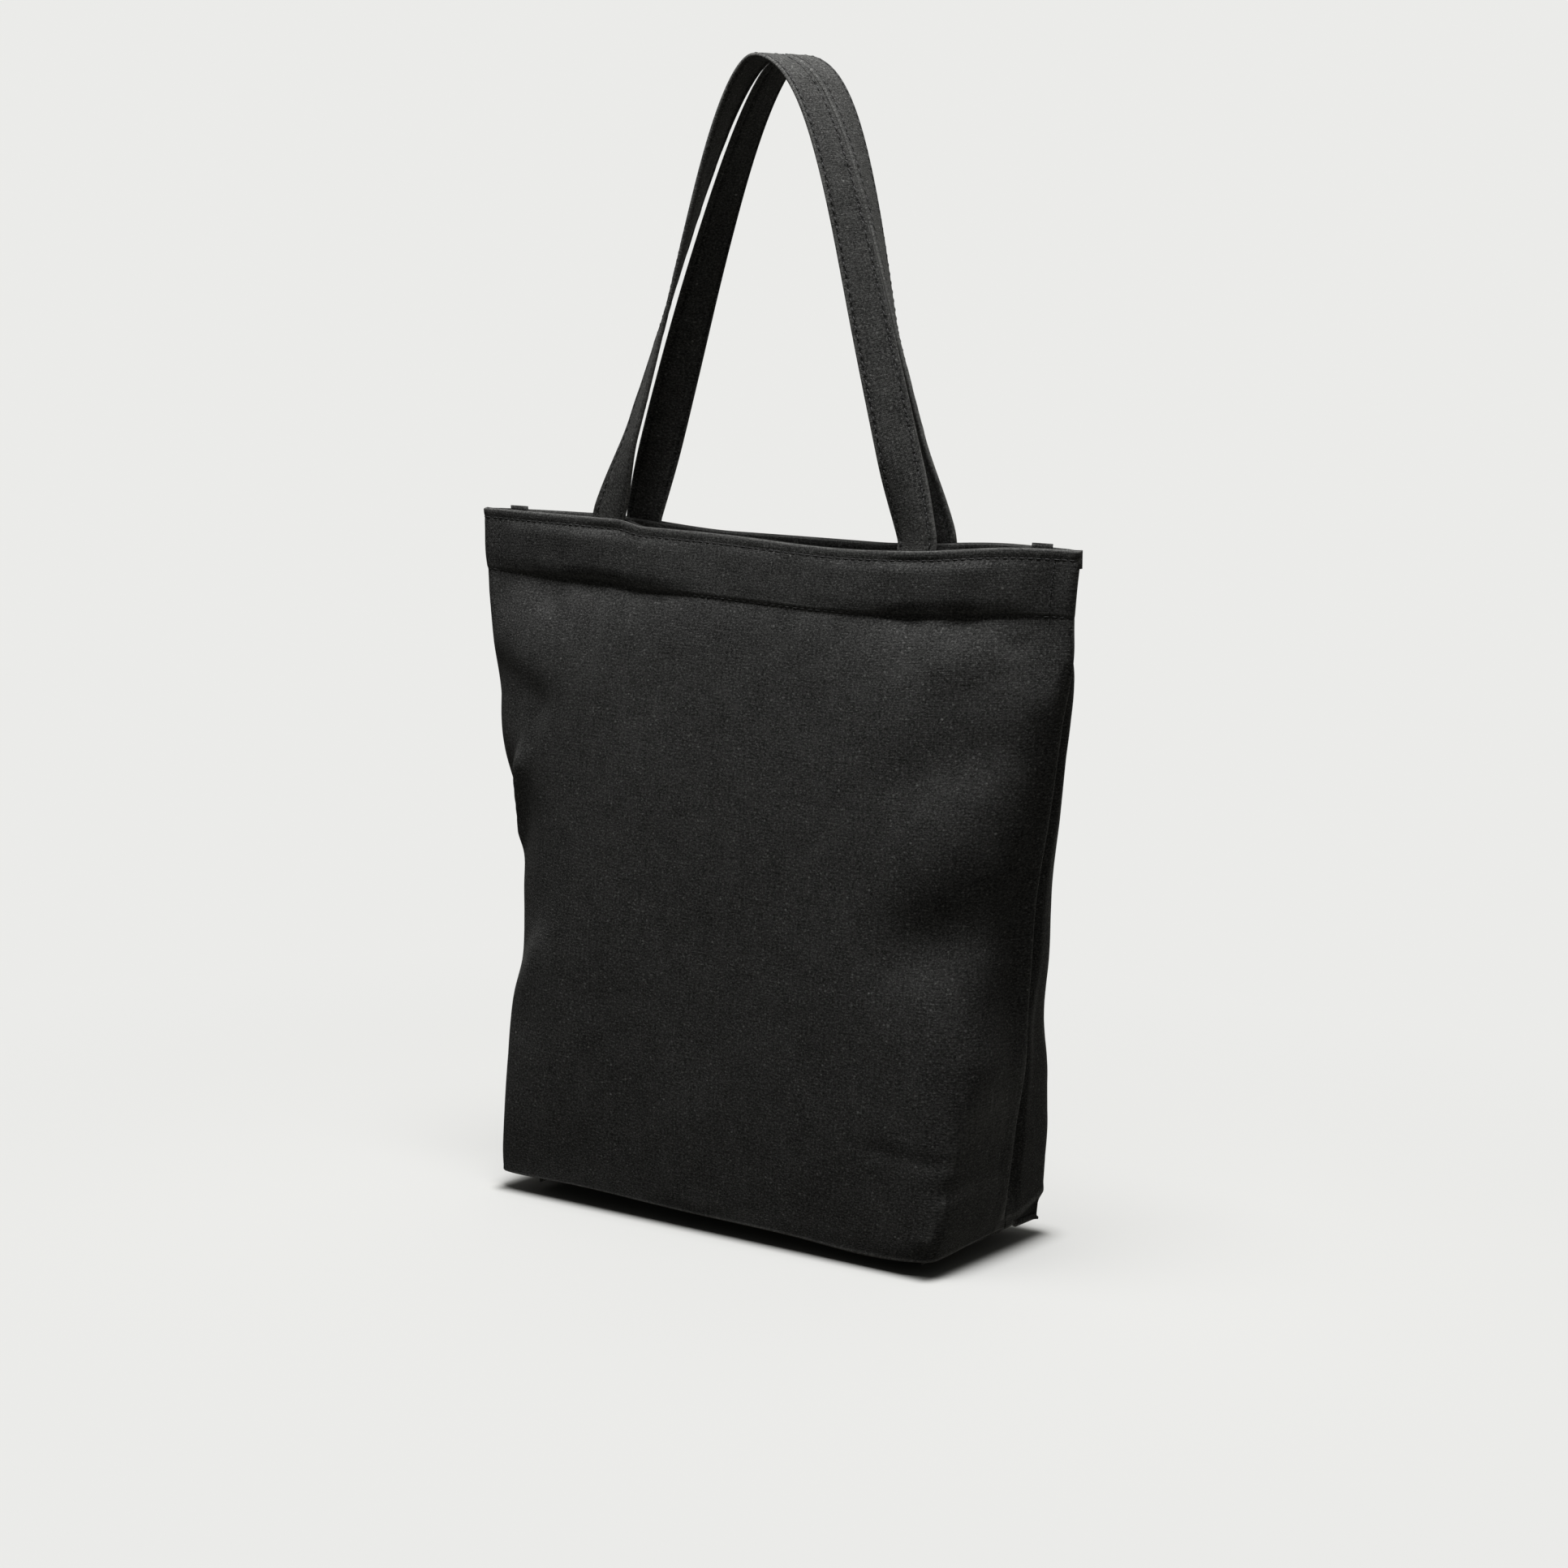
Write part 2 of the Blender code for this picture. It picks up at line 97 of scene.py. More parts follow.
STITCH_LENGTH = 0.0034
THREAD = 0.00055
STRAP_THREAD = 0.00075
HOLE_RADIUS = 0.00064  # of a needle hole in the body
STRAP_HOLE_RADIUS = 0.0009
LOOP_SHIFT = 0.0065  # how far the tops of the loops lean to the bag's right
APEX_GAP = 0.0002  # from a strap's edge to the plane between the two loops
# (side, hand): foot x, curve power, twist power, turn above the foot, bow outward at mid height
LEGS = {
    (-1, -1): (0.0992, 1.60, 0.80, radians(27), -0.0066),
    (-1, 1): (0.0999, 2.07, 1.10, radians(29), -0.0058),
    (1, -1): (0.0887, 1.59, 1.53, radians(17), -0.0015),
    (1, 1): (0.1016, 2.13, 1.08, radians(26), -0.0082),
}

GUSSET_COLUMNS = 30
FACE_COLUMNS = 140


def smooth(value, low, high):
    """0 below low, 1 above high, smooth between them; works on arrays."""
    share = np.clip((np.asarray(value, float) - low) / (high - low), 0, 1)
    return share * share * (3 - 2 * share)


def noise(u, v, cell, seed):
    """Smooth noise from -1 to 1 over the plane, one random value for each cell corner."""
    lattice = np.random.default_rng(seed).uniform(-1, 1, (64, 64))
    x, y = np.asarray(u, float) / cell + 17.3, np.asarray(v, float) / cell + 31.7
    xi, yi = np.floor(x).astype(int), np.floor(y).astype(int)
    fx, fy = x - xi, y - yi
    fx, fy = fx * fx * (3 - 2 * fx), fy * fy * (3 - 2 * fy)
    near = lattice[yi % 64, xi % 64] * (1 - fx) + lattice[yi % 64, (xi + 1) % 64] * fx
    far = lattice[(yi + 1) % 64, xi % 64] * (1 - fx) + lattice[(yi + 1) % 64, (xi + 1) % 64] * fx
    return near * (1 - fy) + far * fy


# ---------------------------------------------------------------- the bag's outline


def rise_of(z):
    return np.clip(z / BODY_HEIGHT, 0, 1)


def half_width(z):
    return HALF_BASE_WIDTH + (HALF_RIM - HALF_BASE_WIDTH) * rise_of(z) ** WIDTH_FLARE


def half_depth(z):
    return MOUTH_DEPTH / 2 + (HALF_BASE_DEPTH - MOUTH_DEPTH / 2) * (1 - rise_of(z) ** DEPTH_TAPER)


def section_powers(z):
    """Powers of the section's curve: a box below, fuller in the middle, a lens at the mouth."""
    squareness = BASE_SQUARENESS * np.exp(-z / SQUARENESS_FADE)
    squareness += MIDDLE_FULLNESS * smooth(BODY_HEIGHT - FACING_DEPTH - z, 0, FULLNESS_FADE)
    power = MOUTH_POWER + FLOOR_EXTRA_POWER * (1 - rise_of(z)) ** EXTRA_POWER_FADE
    return 2 + squareness, power + squareness


def section(z, inset, places):
    """Points (x, depth) of a panel's outer face at height z, spaced by length along the cloth."""
    width_power, depth_power = section_powers(z)
    angles = np.linspace(0, pi / 2, 900)
    xs = (half_width(z) - inset) * np.sin(angles) ** (2 / width_power)
    bulge = half_depth(z) - inset - SEAM_HALF_GAP
    depths = SEAM_HALF_GAP + bulge * np.abs(np.cos(angles)) ** (2 / depth_power)
    length = np.concatenate(([0], np.cumsum(np.hypot(np.diff(xs), np.diff(depths)))))
    length /= length[-1]
    x = np.interp(np.abs(places), length, xs) * np.sign(places)
    return x, np.interp(np.abs(places), length, depths)


def outer_depth(x, z):
    width_power, depth_power = section_powers(z)
    across = np.minimum(np.abs(x) / half_width(z), 1.0)
    bulge = half_depth(z) - SEAM_HALF_GAP
    return SEAM_HALF_GAP + bulge * (1 - across**width_power) ** (1 / depth_power)


# ---------------------------------------------------------------- folds

# start, end (x, z), width and height of the front's ridges, made pale along their tops by wear and by a
# painted highlight
FRONT_RIDGES = (
    ((0.139, 0.014), (0.146, 0.040), 0.0040, 0.0024),
    ((0.145, 0.048), (0.160, 0.108), 0.0045, 0.0024),
    ((-0.146, 0.236), (-0.160, 0.186), 0.0050, 0.0044),
    ((-0.122, 0.140), (-0.170, 0.072), 0.0110, 0.0026),
)
# middle (x, z), radii, angle and depth of the soft hollows; a depth below 0 swells out
FRONT_DENTS = (
    ((0.137, 0.172), (0.031, 0.021), 0.5, 0.0084),
    ((0.152, 0.140), (0.020, 0.020), 0.2, 0.0022),
    ((0.138, 0.262), (0.034, 0.020), 0.5, 0.0050),
    ((-0.160, 0.196), (0.034, 0.026), 1.2, 0.0075),
    ((-0.150, 0.140), (0.036, 0.070), 0.0, 0.0068),
    ((-0.137, 0.322), (0.016, 0.008), -0.6, 0.0020),
    ((0.160, 0.318), (0.006, 0.005), 0.0, 0.0016),
    ((0.020, 0.150), (0.100, 0.070), 0.3, 0.0020),
)
BACK_DENTS = (
    ((0.150, 0.120), (0.020, 0.040), 0.2, 0.0040),
    ((-0.140, 0.200), (0.035, 0.030), -0.4, 0.0050),
    ((-0.030, 0.290), (0.100, 0.035), 0.0, -0.0020),
)
# start, end (x, z), width, height and lean of the other folds; a height below 0 is a valley
FRONT_CREASES = (
    ((0.184, 0.312), (0.120, 0.284), 0.016, -0.0030, 0.0),
    ((-0.176, 0.282), (-0.126, 0.262), 0.016, -0.0034, -0.3),
    ((0.100, 0.062), (0.148, 0.058), 0.004, -0.0007, 0.0),
)
BACK_CREASES = (
    ((-0.180, 0.310), (-0.120, 0.285), 0.010, 0.0028, 0.4),
    ((0.150, 0.260), (0.100, 0.215), 0.014, -0.0035, 0.2),
    ((0.060, 0.110), (0.120, 0.070), 0.016, 0.0026, 0.3),
)
RIDGE_LEAN = 0.3


def dent(x, z, centre, radii, angle, depth):
    """A soft hollow of elliptical outline, depth inward."""
    dx, dz = x - centre[0], z - centre[1]
    along = dx * cos(angle) + dz * sin(angle)
    across = dz * cos(angle) - dx * sin(angle)
    return -depth * np.exp(-((along / radii[0]) ** 2) - (across / radii[1]) ** 2)


def crease(x, z, start, end, width, height, lean):
    """A fold along a line, raised by height, steeper on its lower side when lean is above 0."""
    start, end = np.array(start), np.array(end)
    length = np.hypot(*(end - start))
    way = (end - start) / length
    dx, dz = x - start[0], z - start[1]
    along = (dx * way[0] + dz * way[1]) / length
    across = (dz * way[0] - dx * way[1]) / width
    across = np.where(across > 0, across * (1 - lean), across * (1 + lean))
    fade = np.exp(-((np.maximum(np.abs(along - 0.5) - 0.35, 0) / 0.22) ** 2))
    return height * np.exp(-(across**2)) * fade


def folds_of(x, z, side):
    """Outward shift of a panel's folds and hollows."""
    dents, creases = (FRONT_DENTS, FRONT_CREASES) if side < 0 else (BACK_DENTS, BACK_CREASES)
    if side < 0:
        creases += tuple((*ridge, RIDGE_LEAN) for ridge in FRONT_RIDGES)
    return sum(dent(x, z, *values) for values in dents) + sum(crease(x, z, *values) for values in creases)


def seam_drift(x, z):
    """How far a side seam wanders towards the back below the mouth."""
    below = 1 - rise_of(z)
    return np.where(x > 0, 0.018, 0.008) * below**1.2


def side_wander(x, z):
    """How far the cloth beside a seam hangs out from (or in from) the bag's straight taper."""
    if_right = 0.0024 * bump_at(z, 0.310, 0.022) - 0.0024 * bump_at(z, 0.190, 0.035)
    if_right += 0.0022 * bump_at(z, 0.100, 0.022)
    if_left = 0.0030 * bump_at(z, 0.330, 0.024) - 0.0038 * bump_at(z, 0.125, 0.045)
    if_left += 0.0040 * bump_at(z, 0.010, 0.028)
    return np.where(x > 0, if_right, -if_left)


def bump_at(value, centre, width):
    return np.exp(-(((value - centre) / width) ** 2))


def rim_drop(x, side):
    """How far the rim sags below its corners."""
    if side < 0:
        held = smooth(x, -0.092, -0.070) * (1 - smooth(x, 0.100, 0.165))
        return 0.0030 * held + 0.0036 * np.exp(-(((x - 0.058) / 0.062) ** 2))
    held = smooth(x, -0.120, -0.030) * (1 - smooth(x, 0.060, 0.150))
    return 0.0048 * held


def edge_lift(x, side):
    """How far the lower edge of a panel's face stands off the floor."""
    if side < 0:
        return EDGE_LIFT + 0.0018 * bump_at(x, -0.085, 0.050) - 0.0022 * bump_at(x, 0.100, 0.034)
    return EDGE_LIFT + 0.0012 * np.sin(x * 31)


def side_edge(x, from_seam, side):
    """Extra lift of the lower edge on a side of the bag: highest at the seam."""
    near = np.where(x > 0, 0.0028, 0.0018)
    if side < 0:
        return near * (1 - smooth(from_seam, 0.0, SIDE_LENGTH))
    return near * (1 - smooth(from_seam, 0.001, 0.008)) - 0.0016 * smooth(from_seam, 0.001, 0.008)


def fold_height(x, from_seam):
    """Height of the fold that climbs a side's back half from the foot of the seam."""
    climb = np.clip(from_seam / SIDE_LENGTH, 0, 1)
    return EDGE_LIFT + np.where(x > 0, 0.0040 + 0.0110 * climb, 0.0020 + 0.0060 * climb)


def corner_tuck(x, z, from_seam, side):
    """Shift of the cloth at the climbing fold: a crisp ridge, tucked in beneath."""
    if side < 0:
        return 0 * x
    below = fold_height(x, from_seam) - z
    tuck = -0.0042 * smooth(below, -0.0004, 0.0090)
    ridge = 0.0009 * np.exp(-(((below + 0.0010) / 0.0022) ** 2))
    near_corner = smooth(from_seam, SIDE_LENGTH - 0.012, SIDE_LENGTH + 0.010)
    return (tuck + ridge) * smooth(from_seam, 0.0005, 0.005) * (1 - near_corner)


# ---------------------------------------------------------------- panel surface


def column_places():
    """Places of the columns as shares of the cloth's half width, close together at the seams."""
    corner = HALF_BASE_WIDTH / HALF_RIM
    share = np.linspace(0, 1, GUSSET_COLUMNS + 1)
    gusset = 1 - (1 - corner) * (0.25 * share + 0.75 * share**1.9)
    face = np.linspace(-corner, corner, FACE_COLUMNS + 1)
    return np.concatenate((-gusset, face[1:-1], gusset[::-1]))


def row_drops():
    """Distances of the rows below the rim, close together at the rows of stitches."""
    wall = BODY_HEIGHT - EDGE_RADIUS
    drops = list(np.arange(0.012, wall, 0.0023)) + [wall, 0, 0.0006, 0.0013, 0.002]
    drops += list(np.arange(wall - 0.032, wall, 0.0009))
    for row in (RIM_STITCH_DROP, FACING_DEPTH):
        drops += [row + step * 0.0006 for step in range(-4, 5)]
    drops += list(np.arange(0.0075, 0.012, 0.0015))
    drops += list(np.arange(FACING_DEPTH - 0.009, FACING_DEPTH + 0.009, 0.0009))
    drops.sort()
    kept = [drops[0]]
    for drop in drops[1:]:
        if drop - kept[-1] > 0.0004:
            kept.append(drop)
    return np.array(kept)


def hem_pull(x, side):
    """How hard the facing's stitches pull the cloth in along the hem, from 0 to 1."""
    if side < 0:
        left = np.exp(-(((x + 0.098) / 0.050) ** 4))
        right = np.exp(-(((x - 0.114) / 0.044) ** 4))
        return 0.22 + 0.62 * left + 0.78 * right
    return 0.30 + 0.4 * np.exp(-(((x + 0.09) / 0.04) ** 2)) + 0.4 * np.exp(-(((x - 0.095) / 0.04) ** 2))


def sew_profile(x, drop, side):
    """Outward shift from the sewing: puffed band, stitch grooves and the puckers along them."""
    held = smooth(HALF_RIM - np.abs(x), 0.006, 0.042)
    pull = hem_pull(x, side) * (1 + 0.35 * noise(x, drop * 0, 0.017, 29 + side)) * held
    inside = FACING_DEPTH - drop
    share = np.clip((drop - RIM_STITCH_DROP) / (FACING_DEPTH - RIM_STITCH_DROP), 0, 1.05)
    band = smooth(share, 0.0, 0.22) * (1 - smooth(share, 0.70, 1.04))
    shift = 0.0006 * smooth(inside, -0.0012, 0.0012) * (0.3 + 0.7 * held)
    shift += 0.0016 * pull * band
    above, below = np.clip(inside + 0.0012, 0, None), np.clip(-inside - 0.0012, 0, None)
    valley = 0.0006 + 0.0040 * pull
    upper_slope = 0.50 * np.exp(-((above / 0.0026) ** 1.5)) + 0.50 * np.exp(-((above / 0.017) ** 2))
    shift -= valley * upper_slope * np.exp(-((below / 0.0085) ** 1.2))
    pucker = 0.5 + 0.5 * noise(x, drop * 0, 0.006, 11 + side)
    for row, depth in ((RIM_STITCH_DROP, 0.00022), (FACING_DEPTH, 0.00035)):
        groove = np.exp(-(((drop - row) / 0.0010) ** 2))
        shift -= groove * depth * (0.5 + 1.0 * pucker)
    strap = np.exp(-((from_strap(x, side) / 0.016) ** 4))
    shift -= (0.0003 + 0.0006 * strap) * np.exp(-(((drop - 0.0045) / 0.0024) ** 2))
    gather = noise(x, drop * 0, 0.009, 23 + side)
    shift += 0.0006 * gather * np.exp(-((below / 0.012) ** 2)) * smooth(below, 0, 0.003) * held
    shift += 0.0005 * noise(x, drop, 0.016, 37 + side) * band
    return shift


def seam_profile(from_seam, z, side):
    """Outward shift beside a side seam: the front stands proud as a fold, the back lies behind."""
    sunk = -0.0034 * smooth(z, 0.008, 0.045)
    if side < 0:
        edge = np.exp(-((from_seam / 0.0009) ** 2))
        ridge = 0.0020 * (1 - smooth(from_seam, 0.003, 0.013)) * smooth(z, 0.008, 0.022)
        return sunk * edge + ridge * (1 - edge)
    return sunk * (1 - smooth(from_seam, 0.001, 0.011))


class Panel:
    """A panel's outer face: rows of points from the rim to the lower edge."""

    def __init__(self, side):
        self.side = side
        self.places = column_places()
        self.drops = row_drops()
        rows = []
        for drop in self.drops:
            x, depth = section(BODY_HEIGHT - drop, 0, self.places)
            rows.append(np.stack((x, side * depth, np.full_like(x, BODY_HEIGHT - drop)), 1))
        steps = 8
        for step in range(1, steps + 1):
            angle = step / steps * pi / 2
            x, depth = section(EDGE_RADIUS, EDGE_RADIUS * (1 - cos(angle)), self.places)
            z = EDGE_RADIUS * (1 - sin(angle))
            rows.append(np.stack((x, side * depth, np.full_like(x, z)), 1))
        grid = np.array(rows)
        round_edge = EDGE_RADIUS * np.arange(1, steps + 1) / steps * pi / 2
        self.down = np.concatenate((self.drops, self.drops[-1] + round_edge))
        self.grid = self.fold(grid)
        self.normals = grid_normals(self.grid, side)

    def fold(self, grid):
        side = self.side
        normals = grid_normals(grid, side)
        x, z = grid[:, :, 0], grid[:, :, 2]
        drop = self.down[:, None] + 0 * x
        from_seam = (1 - np.abs(self.places))[None, :] * HALF_RIM + 0 * x
        quiet = smooth(drop, FACING_DEPTH, FACING_DEPTH + 0.02) * smooth(z, 0.0, 0.015)
        shift = folds_of(x, z, side) * smooth(drop, 0.004, FACING_DEPTH + 0.004)
        shift += quiet * 0.0006 * noise(x, z, 0.045, 3 + side)
        shift += quiet * 0.00022 * noise(x, z, 0.018, 7 + side)
        shift *= smooth(from_seam, 0.0, 0.016)
        shift += sew_profile(x, drop, side)
        shift += corner_tuck(x, z, from_seam, side)
        shift += seam_profile(from_seam, z, side)
        moved = grid + normals * shift[:, :, None]
        pinch = np.exp(-((from_seam / 0.0012) ** 2))
        depth = np.maximum(side * moved[:, :, 1], SEAM_LIMIT)
        moved[:, :, 1] = side * (depth * (1 - pinch) + SEAM_LIMIT * pinch)
        outward = np.abs(self.places)[None, :] + 0 * x
        moved[:, :, 1] += seam_drift(moved[:, :, 0], z) * smooth(outward, 0.66, 1.0)
        moved[:, :, 0] += side_wander(x, z) * smooth(outward, 0.55, 0.86)
        moved[:, :, 2] -= rim_drop(x, side) * np.exp(-drop / 0.09)
        lift = edge_lift(x, side) + side_edge(x, from_seam, side)
        moved[:, :, 2] += lift * np.exp(-z / 0.012)
        return moved

    def at(self, places, downs):
        """Points and normals at places across (-1 to 1) and distances down the cloth."""
        col = np.interp(places, self.places, np.arange(len(self.places)))
        row = np.interp(downs, self.down, np.arange(len(self.down)))
        points = blend_grid(self.grid, row, col)
        normals = blend_grid(self.normals, row, col)
        return points, normals / np.linalg.norm(normals, axis=1)[:, None]


def blend_grid(grid, row, col):
    """Values of a grid at fractional rows and columns."""
    r0 = np.clip(np.floor(row).astype(int), 0, grid.shape[0] - 2)
    c0 = np.clip(np.floor(col).astype(int), 0, grid.shape[1] - 2)
    fr, fc = (row - r0)[:, None], (col - c0)[:, None]
    upper = grid[r0, c0] * (1 - fc) + grid[r0, c0 + 1] * fc
    lower = grid[r0 + 1, c0] * (1 - fc) + grid[r0 + 1, c0 + 1] * fc
    return upper * (1 - fr) + lower * fr


def grid_normals(grid, side):
    """Unit normals of a grid of points, pointing out of the bag."""
    down = np.gradient(grid, axis=0)
    across = np.gradient(grid, axis=1)
    normals = np.cross(across, down) * side
    normals /= np.maximum(np.linalg.norm(normals, axis=2), 1e-12)[:, :, None]
    return normals


# ---------------------------------------------------------------- mesh helpers


def add_mesh(name, points, faces, material, uvs=None, **point_values):
    """Makes a mesh object from cloth coordinates in metres and named values at its points."""
    mesh = bpy.data.meshes.new(name)
    corners = faces.tolist() if isinstance(faces, np.ndarray) else list(faces)
    mesh.from_pydata(np.asarray(points).tolist(), [], corners)
    mesh.validate()
    loops = np.zeros(len(mesh.loops), int)
    mesh.loops.foreach_get("vertex_index", loops)
    if uvs is not None:
        layer = mesh.uv_layers.new(name="cloth")
        layer.data.foreach_set("uv", np.asarray(uvs)[loops].ravel())
    for key, values in point_values.items():
        attribute = mesh.attributes.new(key, "FLOAT", "POINT")
        attribute.data.foreach_set("value", np.asarray(values, np.float32))
    mesh.materials.append(material)
    mesh.shade_smooth()
    piece = bpy.data.objects.new(name, mesh)
    bpy.context.scene.collection.objects.link(piece)
    return piece


def grid_faces(rows, columns, start=0):
    index = start + np.arange(rows * columns).reshape(rows, columns)
    return np.stack((index[:-1, :-1], index[:-1, 1:], index[1:, 1:], index[1:, :-1]), -1).reshape(-1, 4)


def vertex_normals(points, faces):
    corners = points[faces]
    face_normals = np.cross(corners[:, 2] - corners[:, 0], corners[:, 3] - corners[:, 1])
    normals = np.zeros_like(points)
    for i in range(4):
        np.add.at(normals, faces[:, i], face_normals)
    return normals / np.maximum(np.linalg.norm(normals, axis=1), 1e-15)[:, None]


def close_sheet(points, faces, thickness, uvs, wear):
    """Gives an open sheet a second face on its inner side and closes its edges."""
    normals = vertex_normals(points, faces)
    count = len(points)
    edges = np.concatenate([faces[:, [i, (i + 1) % 4]] for i in range(4)])
    keys = np.sort(edges, axis=1)
    _, first, uses = np.unique(keys, axis=0, return_index=True, return_counts=True)
    border = edges[first[uses == 1]]
    walls = np.stack((border[:, 1], border[:, 0], border[:, 0] + count, border[:, 1] + count), 1)
    inner = points - normals * thickness
    all_faces = np.concatenate((faces, faces[:, ::-1] + count, walls))
    all_points = np.concatenate((points, inner))
    return all_points, all_faces, np.concatenate((uvs, uvs)), np.concatenate((wear, wear))


# ---------------------------------------------------------------- materials


def node(tree, kind, **values):
    made = tree.nodes.new(kind)
    for key, value in values.items():
        setattr(made, key, value)
    return made


def math_node(tree, operation, first, second=None, clamp=False):
    made = node(tree, "ShaderNodeMath", operation=operation, use_clamp=clamp)
    for socket, value in zip(made.inputs, (first, second)):
        if value is None:
            continue
        if isinstance(value, (int, float)):
            socket.default_value = value
        else:
            tree.links.new(value, socket)
    return made.outputs[0]


def noise_node(tree, vector, scale, detail=2.0, roughness=0.5):
    made = node(tree, "ShaderNodeTexNoise")
    made.inputs["Scale"].default_value = scale
    made.inputs["Detail"].default_value = detail
    made.inputs["Roughness"].default_value = roughness
    tree.links.new(vector, made.inputs["Vector"])
    return made.outputs["Fac"]


def stretched(tree, vector, scale):
    made = node(tree, "ShaderNodeMapping")
    made.inputs["Scale"].default_value = scale
    tree.links.new(vector, made.inputs["Vector"])
    return made.outputs["Vector"]


def ramp(tree, value, low, high):
    made = node(tree, "ShaderNodeMapRange", interpolation_type="SMOOTHSTEP")
    made.inputs["From Min"].default_value = low
    made.inputs["From Max"].default_value = high
    tree.links.new(value, made.inputs["Value"])
    return made.outputs["Result"]


def canvas_material(name, colour, warp=0.00072, weft=0.00086):
    """Washed black canvas: plain weave, slubs, cloudy wash, pale lint, and worn edges and fold tops made
    paler partly as a painted highlight; the same attribute paints shade along the straps' stitch rows.
    """
    material = bpy.data.materials.new(name)
    material.use_nodes = True
    tree = material.node_tree
    shader = tree.nodes["Principled BSDF"]
    cloth = node(tree, "ShaderNodeUVMap", uv_map="cloth").outputs["UV"]
    parts = node(tree, "ShaderNodeSeparateXYZ")
    tree.links.new(cloth, parts.inputs[0])
    wobble = noise_node(tree, cloth, 260, 1.0)
    across = math_node(tree, "ADD", parts.outputs[0], math_node(tree, "MULTIPLY", wobble, 0.0005))
    down = math_node(tree, "ADD", parts.outputs[1], math_node(tree, "MULTIPLY", wobble, 0.0004))
    warp_wave = math_node(tree, "SINE", math_node(tree, "MULTIPLY", across, pi / warp))
    weft_wave = math_node(tree, "SINE", math_node(tree, "MULTIPLY", down, pi / weft))
    over = math_node(tree, "MULTIPLY", warp_wave, weft_wave)
    over = math_node(tree, "ADD", math_node(tree, "MULTIPLY", over, 4.0), 0.5, clamp=True)
    yarns = node(tree, "ShaderNodeMix", data_type="FLOAT")
    tree.links.new(over, yarns.inputs[0])
    tree.links.new(math_node(tree, "ABSOLUTE", warp_wave), yarns.inputs[2])
    tree.links.new(math_node(tree, "ABSOLUTE", weft_wave), yarns.inputs[3])
    weave = yarns.outputs[0]
    slub_down = noise_node(tree, stretched(tree, cloth, (1300, 60, 1)), 1.0, 1.0)
    slub_across = noise_node(tree, stretched(tree, cloth, (60, 1100, 1)), 1.0, 1.0)
    slubs = math_node(tree, "MULTIPLY", math_node(tree, "ADD", slub_down, slub_across), 0.5)
    flecks = noise_node(tree, stretched(tree, cloth, (1, 1.5, 1)), 620, 3.0, 0.72)
    grit = noise_node(tree, stretched(tree, cloth, (1, 1.3, 1)), 900, 1.0, 0.5)
    clouds = noise_node(tree, cloth, 22, 4.0, 0.62)
    blotches = noise_node(tree, cloth, 90, 3.0, 0.6)

    tone = math_node(tree, "MULTIPLY", weave, 0.10)
    patterns = (
        (clouds, 0.32, 0.70, 0.12),
        (blotches, 0.30, 0.70, 0.20),
        (slubs, 0.38, 0.62, 0.26),
        (flecks, 0.38, 0.64, 0.90),
        (grit, 0.54, 0.70, 1.20),
    )
    for pattern, low, high, strength in patterns:
        part = math_node(tree, "MULTIPLY", ramp(tree, pattern, low, high), strength)
        tone = math_node(tree, "ADD", tone, part)
    # paler where the attribute is above 0 (wear plus a painted highlight on folds and edges), darker where
    # it is below 0 (painted shade along the straps' stitch rows)
    wear = node(tree, "ShaderNodeAttribute", attribute_name="wear").outputs["Fac"]
    mottle = math_node(tree, "ADD", flecks, slubs)
    patchy = math_node(tree, "MULTIPLY", ramp(tree, mottle, 0.75, 1.25), 0.65)
    rubbed_and_painted_light = math_node(tree, "MULTIPLY", wear, math_node(tree, "ADD", patchy, 0.35))
    tone = math_node(tree, "ADD", tone, math_node(tree, "MULTIPLY", rubbed_and_painted_light, 2.8))
    tone = math_node(tree, "ADD", tone, 0.05)
    tone = math_node(tree, "ADD", tone, lint(tree, cloth, 300, 0.20, 0.40, 1.8))
    tone = math_node(tree, "ADD", tone, lint(tree, cloth, 110, 0.075, 0.78, 3.6))

    paint = node(tree, "ShaderNodeVectorMath", operation="SCALE")
    paint.inputs[0].default_value = colour
    tree.links.new(tone, paint.inputs["Scale"])
    tree.links.new(paint.outputs[0], shader.inputs["Base Color"])
    rough = math_node(tree, "ADD", math_node(tree, "MULTIPLY", flecks, 0.14), 0.82)
    tree.links.new(rough, shader.inputs["Roughness"])
    shader.inputs["Specular IOR Level"].default_value = 0.10
    shader.inputs["Sheen Weight"].default_value = 0.02
    shader.inputs["Sheen Roughness"].default_value = 0.45
    shader.inputs["Sheen Tint"].default_value = (0.75, 0.75, 0.74, 1)

    height = math_node(tree, "ADD", weave, math_node(tree, "MULTIPLY", slubs, 1.3))
    height = math_node(tree, "ADD", height, math_node(tree, "MULTIPLY", flecks, 1.4))
    bump = node(tree, "ShaderNodeBump")
    bump.inputs["Strength"].default_value = 0.6
    bump.inputs["Distance"].default_value = 0.00025
    tree.links.new(height, bump.inputs["Height"])
    tree.links.new(bump.outputs[0], shader.inputs["Normal"])
    return material


